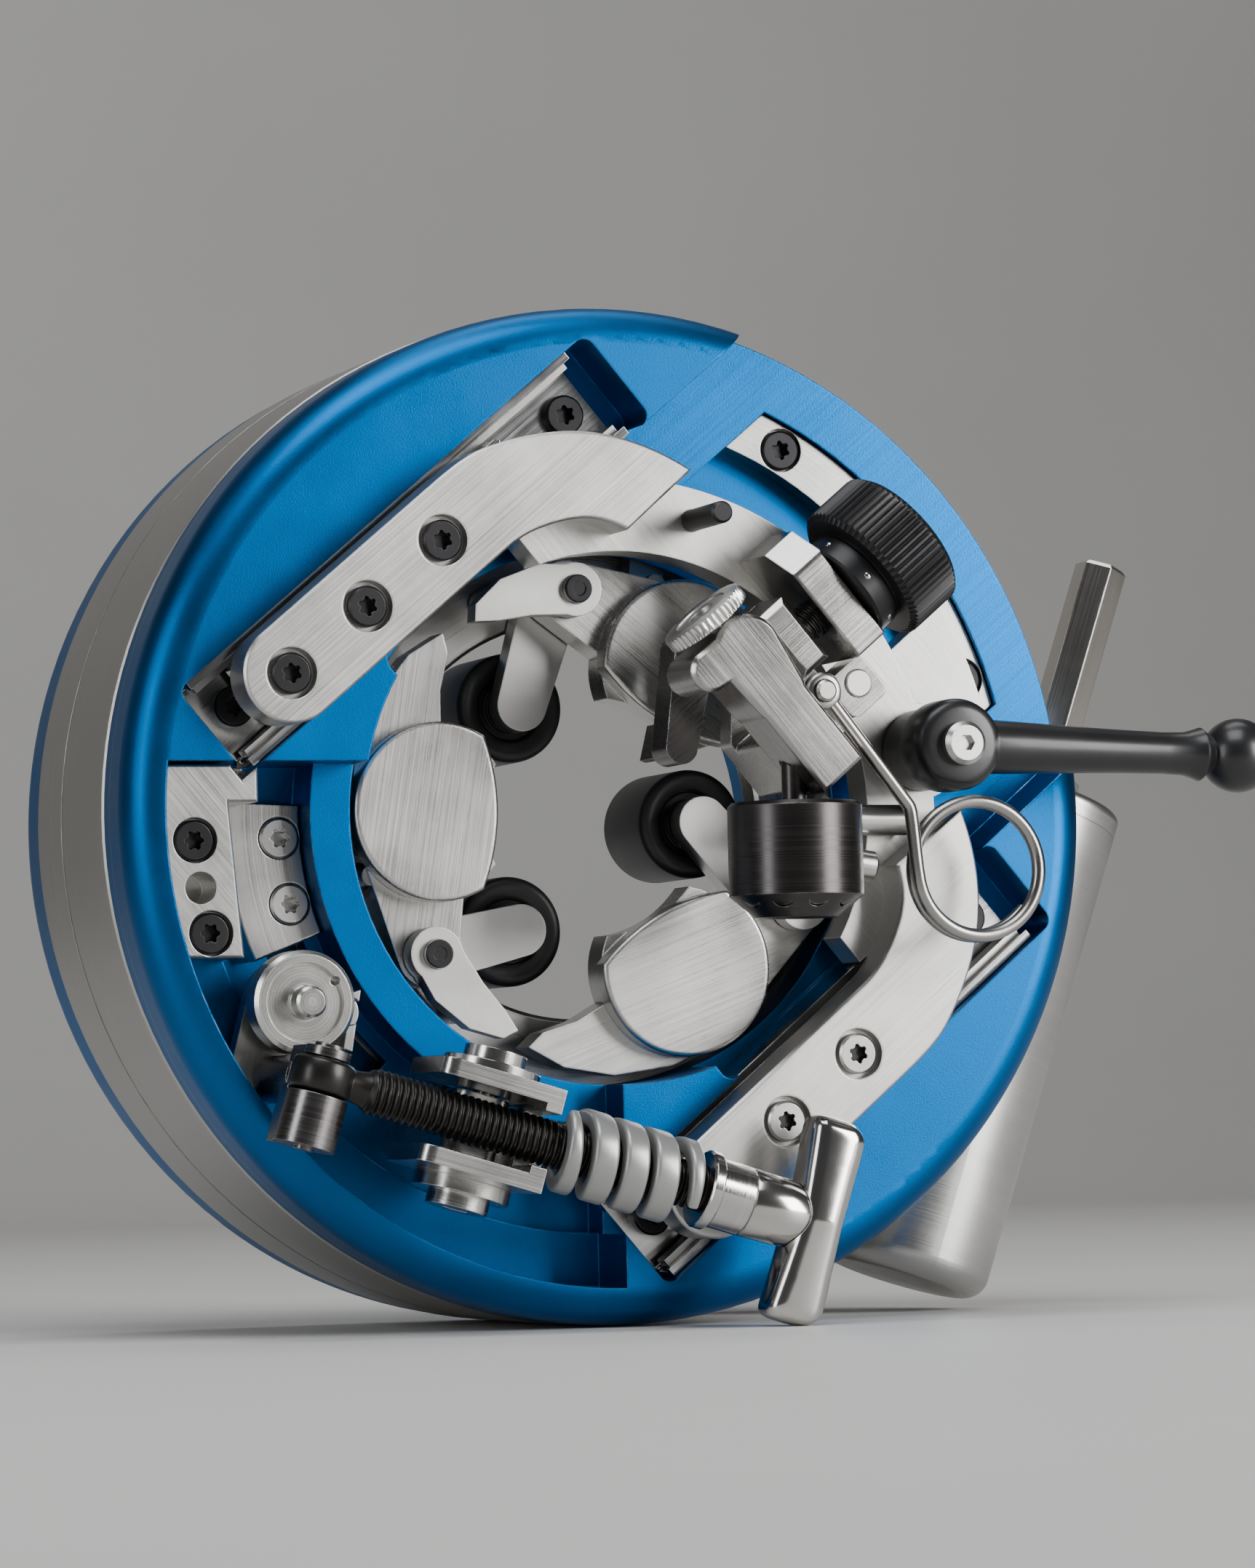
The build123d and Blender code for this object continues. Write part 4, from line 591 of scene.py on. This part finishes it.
knob = Shape()
profile = [(61.6, 4.1), (61.6, 10.9), (62.1, 11.35), (66.2, 11.35), (66.6, 11.0), (67.05, 11.0),
           (67.05, 14.4), (68.1, 15.9), (68.9, 15.95), (73.6, 15.95), (78.4, 15.95), (79.2, 15.9),
           (80.3, 14.6), (80.3, 10.6), (79.9, 10.1), (79.1, 10.0), (79.1, 4.1)]
knob.lathe(SCREW, E_DIR, profile, segs=FLUTES * 6, wave=knurl(0.75, FLUTES, (7, 8, 9, 10, 11)), loop=True)
knob.done("knurled_feed_knob", grip, "knob", ("feed_knob",), smooth=28)
for k in range(DETENTS):
    a = radians(60 * k + 25)
    out = F_DIR * cos(a) + N_DIR * sin(a)
    bead = Shape()
    bead.lathe(SCREW + E_DIR * DETENT_S + out * DETENT_R, out, DETENT_PROFILE, segs=24)
    bead.done("detent_ball_%d" % (k + 1), polished, "knob", smooth=60)

wheel = Shape()
profile = [(11.0, 0.0), (11.0, 2.0), (22.4, 2.0), (22.4, 8.5), (22.7, 9.2), (23.1, 9.3), (24.1, 9.3),
           (25.1, 9.3), (25.5, 9.2), (25.8, 8.6), (25.8, 6.0), (25.5, 5.7), (25.5, 3.0), (23.8, 2.4),
           (23.8, 0.0)]
wheel.lathe(slide_point(29.0, 0, -31.0), F_DIR, profile, segs=264, wave=knurl(0.45, 44, (5, 6, 7)))
wheel.done("knurled_thumb_wheel", screw_steel, "blade_wheel", ("thumb_wheel",), smooth=28)

# ------------------------------------------------------------------ ball lever
HUB = slide_point(58.2, -32.4, 0)
BALL = Vector((131.0, -17.6, 10.6))
BALL_R, BALL_STEPS = 7.8, 14
lever = Shape()
hub_profile = [(1.9, 4.1), (1.9, 7.9), (2.5, 8.5), (10.8, 8.55), (12.4, 9.1), (14.0, 9.5), (21.0, 9.5),
               (22.4, 9.1), (23.2, 8.2), (23.55, 7.0), (23.6, 4.1)]
lever.lathe(HUB, N_DIR, hub_profile, segs=96, loop=True)
start = Vector((HUB.x, -17.6, HUB.z))
arm_axis = (BALL - start).normalized()
reach = (BALL - start).length
arm_profile = [(4.5, 0.0), (4.5, 5.5), (9.0, 5.6), (14.0, 5.45), (22.0, 5.1), (36.0, 4.6), (48.0, 4.35),
               (53.0, 4.5), (55.5, 5.2), (56.6, 5.6), (57.2, 5.2)]
for i in range(BALL_STEPS + 1):
    a = radians(150 - 150 * i / BALL_STEPS)
    arm_profile.append((reach + BALL_R * cos(a), BALL_R * sin(a) if i < BALL_STEPS else 0.0))
lever.lathe(start, arm_axis, arm_profile, segs=72)
lever.done("ball_lever_arm", gloss, "lever", ("ball_lever",), smooth=50)

# ------------------------------------------------------------------ pull ring
WIRE_R = 1.4
WIRE_Y = -30.6                  # how far the straight wire stands in front of the face
LOOP_R, LOOP_RISE, LOOP_STEPS = 13.9, 4.2, 30

post = slide_point(38.9, -3.2, 0)
loop_at = Vector((65.7, 0, -13.3))
first = Vector((post.x + 2.2, WIRE_Y, post.z - 2.6))
bend = Vector((50.4, WIRE_Y, -0.9))
points = [first, *[first.lerp(bend, u) for u in (0.3, 0.6, 0.85, 0.97)], bend,
          bend + Vector((0.5, 0, -2.6))]
for i in range(1, LOOP_STEPS + 1):
    a = radians(168 + 17.2 * i)
    y = WIRE_Y + LOOP_RISE * i / LOOP_STEPS
    points.append(Vector((loop_at.x + LOOP_R * cos(a), y, loop_at.z + LOOP_R * sin(a))))
wire_data = bpy.data.curves.new("pull_ring_wire", "CURVE")
wire_data.dimensions = "3D"
wire_data.bevel_depth = WIRE_R * MM
wire_data.bevel_resolution = 6
wire_data.resolution_u = 8
wire_data.use_fill_caps = True
spline = wire_data.splines.new("NURBS")
spline.points.add(len(points) - 1)
for item, p in zip(spline.points, points):
    item.co = (p.x * MM, p.y * MM, p.z * MM, 1.0)
spline.order_u = 4
spline.use_endpoint_u = True
wire = bpy.data.objects.new("pull_ring_wire", wire_data)
wire_data.materials.append(wire_satin)
bpy.context.scene.collection.objects.link(wire)
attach(wire, "ring")
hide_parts("pull_ring")
loop = Shape()
loop.lathe(post, N_DIR,
           [(29.2, 2.4), (29.2, 3.3), (29.7, 3.8), (30.6, 3.88), (31.5, 3.8), (32.0, 3.3), (32.0, 2.4)],
           segs=48, loop=True)
loop.done("pull_ring_eye", wire_satin, "ring", smooth=80)


# ------------------------------------------------------------------ floor, light and camera
def stage_material(name, colour, rough):
    f = Finish(name)
    tone = f.span(f.noise(f.where, 3.0, 4.0, 0.6), 0.3, 0.7, 0.97, 1.02)
    f.put(f.bsdf.inputs["Base Color"], f.tone(colour, tone))
    f.bsdf.inputs["Roughness"].default_value = rough
    return f.mat


floor_z = cad_box[0].z
FLOOR_BACK, SWEEP_R, SWEEP_STEPS = 1.5, 0.9, 24     # where the floor begins to curve up into the backdrop
sweep = []
for i in range(SWEEP_STEPS + 1):
    a = pi / 2 * i / SWEEP_STEPS
    sweep.append((FLOOR_BACK + SWEEP_R * sin(a), floor_z + SWEEP_R - SWEEP_R * cos(a)))
line = [(-3.0, floor_z)] + sweep + [(2.4, 3.5)]
verts = [(x, y, z) for y, z in line for x in (-4.0, 5.0)]
faces = [(2 * i, 2 * i + 1, 2 * i + 3, 2 * i + 2) for i in range(len(line) - 1)]
floor_data = bpy.data.meshes.new("studio_floor")
floor_data.from_pydata(verts, [], faces)
floor_data.polygons.foreach_set("use_smooth", [True] * len(floor_data.polygons))
floor_data.materials.append(stage_material("studio_paper", rgb(0.62, 0.61, 0.59), 0.55))
floor = bpy.data.objects.new("studio_floor", floor_data)
bpy.context.scene.collection.objects.link(floor)


def area_light(name, at, target, size, energy, colour=(1, 1, 1), size_y=None):
    data = bpy.data.lights.new(name, "AREA")
    data.shape = "RECTANGLE"
    data.size = size
    data.size_y = size_y or size
    data.energy = energy
    data.color = colour
    made = bpy.data.objects.new(name, data)
    made.location = at
    made.rotation_euler = (Vector(target) - Vector(at)).to_track_quat("-Z", "Y").to_euler()
    bpy.context.scene.collection.objects.link(made)


area_light("key", (0.95, -1.05, 0.35), (0.02, 0, -0.02), 0.6, 23, size_y=0.8)
area_light("top", (-0.2, -0.45, 1.2), (0, 0, 0), 0.8, 11, (0.95, 0.97, 1.0))
area_light("left", (-1.3, -0.5, 0.35), (0, 0.03, 0), 0.35, 6, (0.95, 0.97, 1.0), size_y=0.9)
area_light("backdrop", (0.3, 0.6, 1.6), (0.3, 1.6, 0.0), 0.9, 8, size_y=0.9)
world = bpy.data.worlds.new("studio")
world.use_nodes = True
world.node_tree.nodes["Background"].inputs["Color"].default_value = (0.75, 0.77, 0.8, 1)
world.node_tree.nodes["Background"].inputs["Strength"].default_value = 0.085
bpy.context.scene.world = world

eye_at = Vector((-0.4182, -1.1119, -0.0653))
look = Vector((0.3521, 0.9340, 0.0597)).normalized()
up_hint = Vector((0, -0.0638, 0.9980))
right = look.cross(up_hint).normalized()
up = right.cross(look)
camera_data = bpy.data.cameras.new("camera")
camera_data.sensor_fit = "HORIZONTAL"
camera_data.sensor_width = 36.0
camera_data.lens = 166.96
camera_data.clip_start = 0.05
camera_data.clip_end = 30.0
camera = bpy.data.objects.new("camera", camera_data)
turn = Matrix((right, up, -look)).transposed()
camera.matrix_world = Matrix.Translation(eye_at) @ turn.to_4x4()
bpy.context.scene.collection.objects.link(camera)
bpy.context.scene.camera = camera
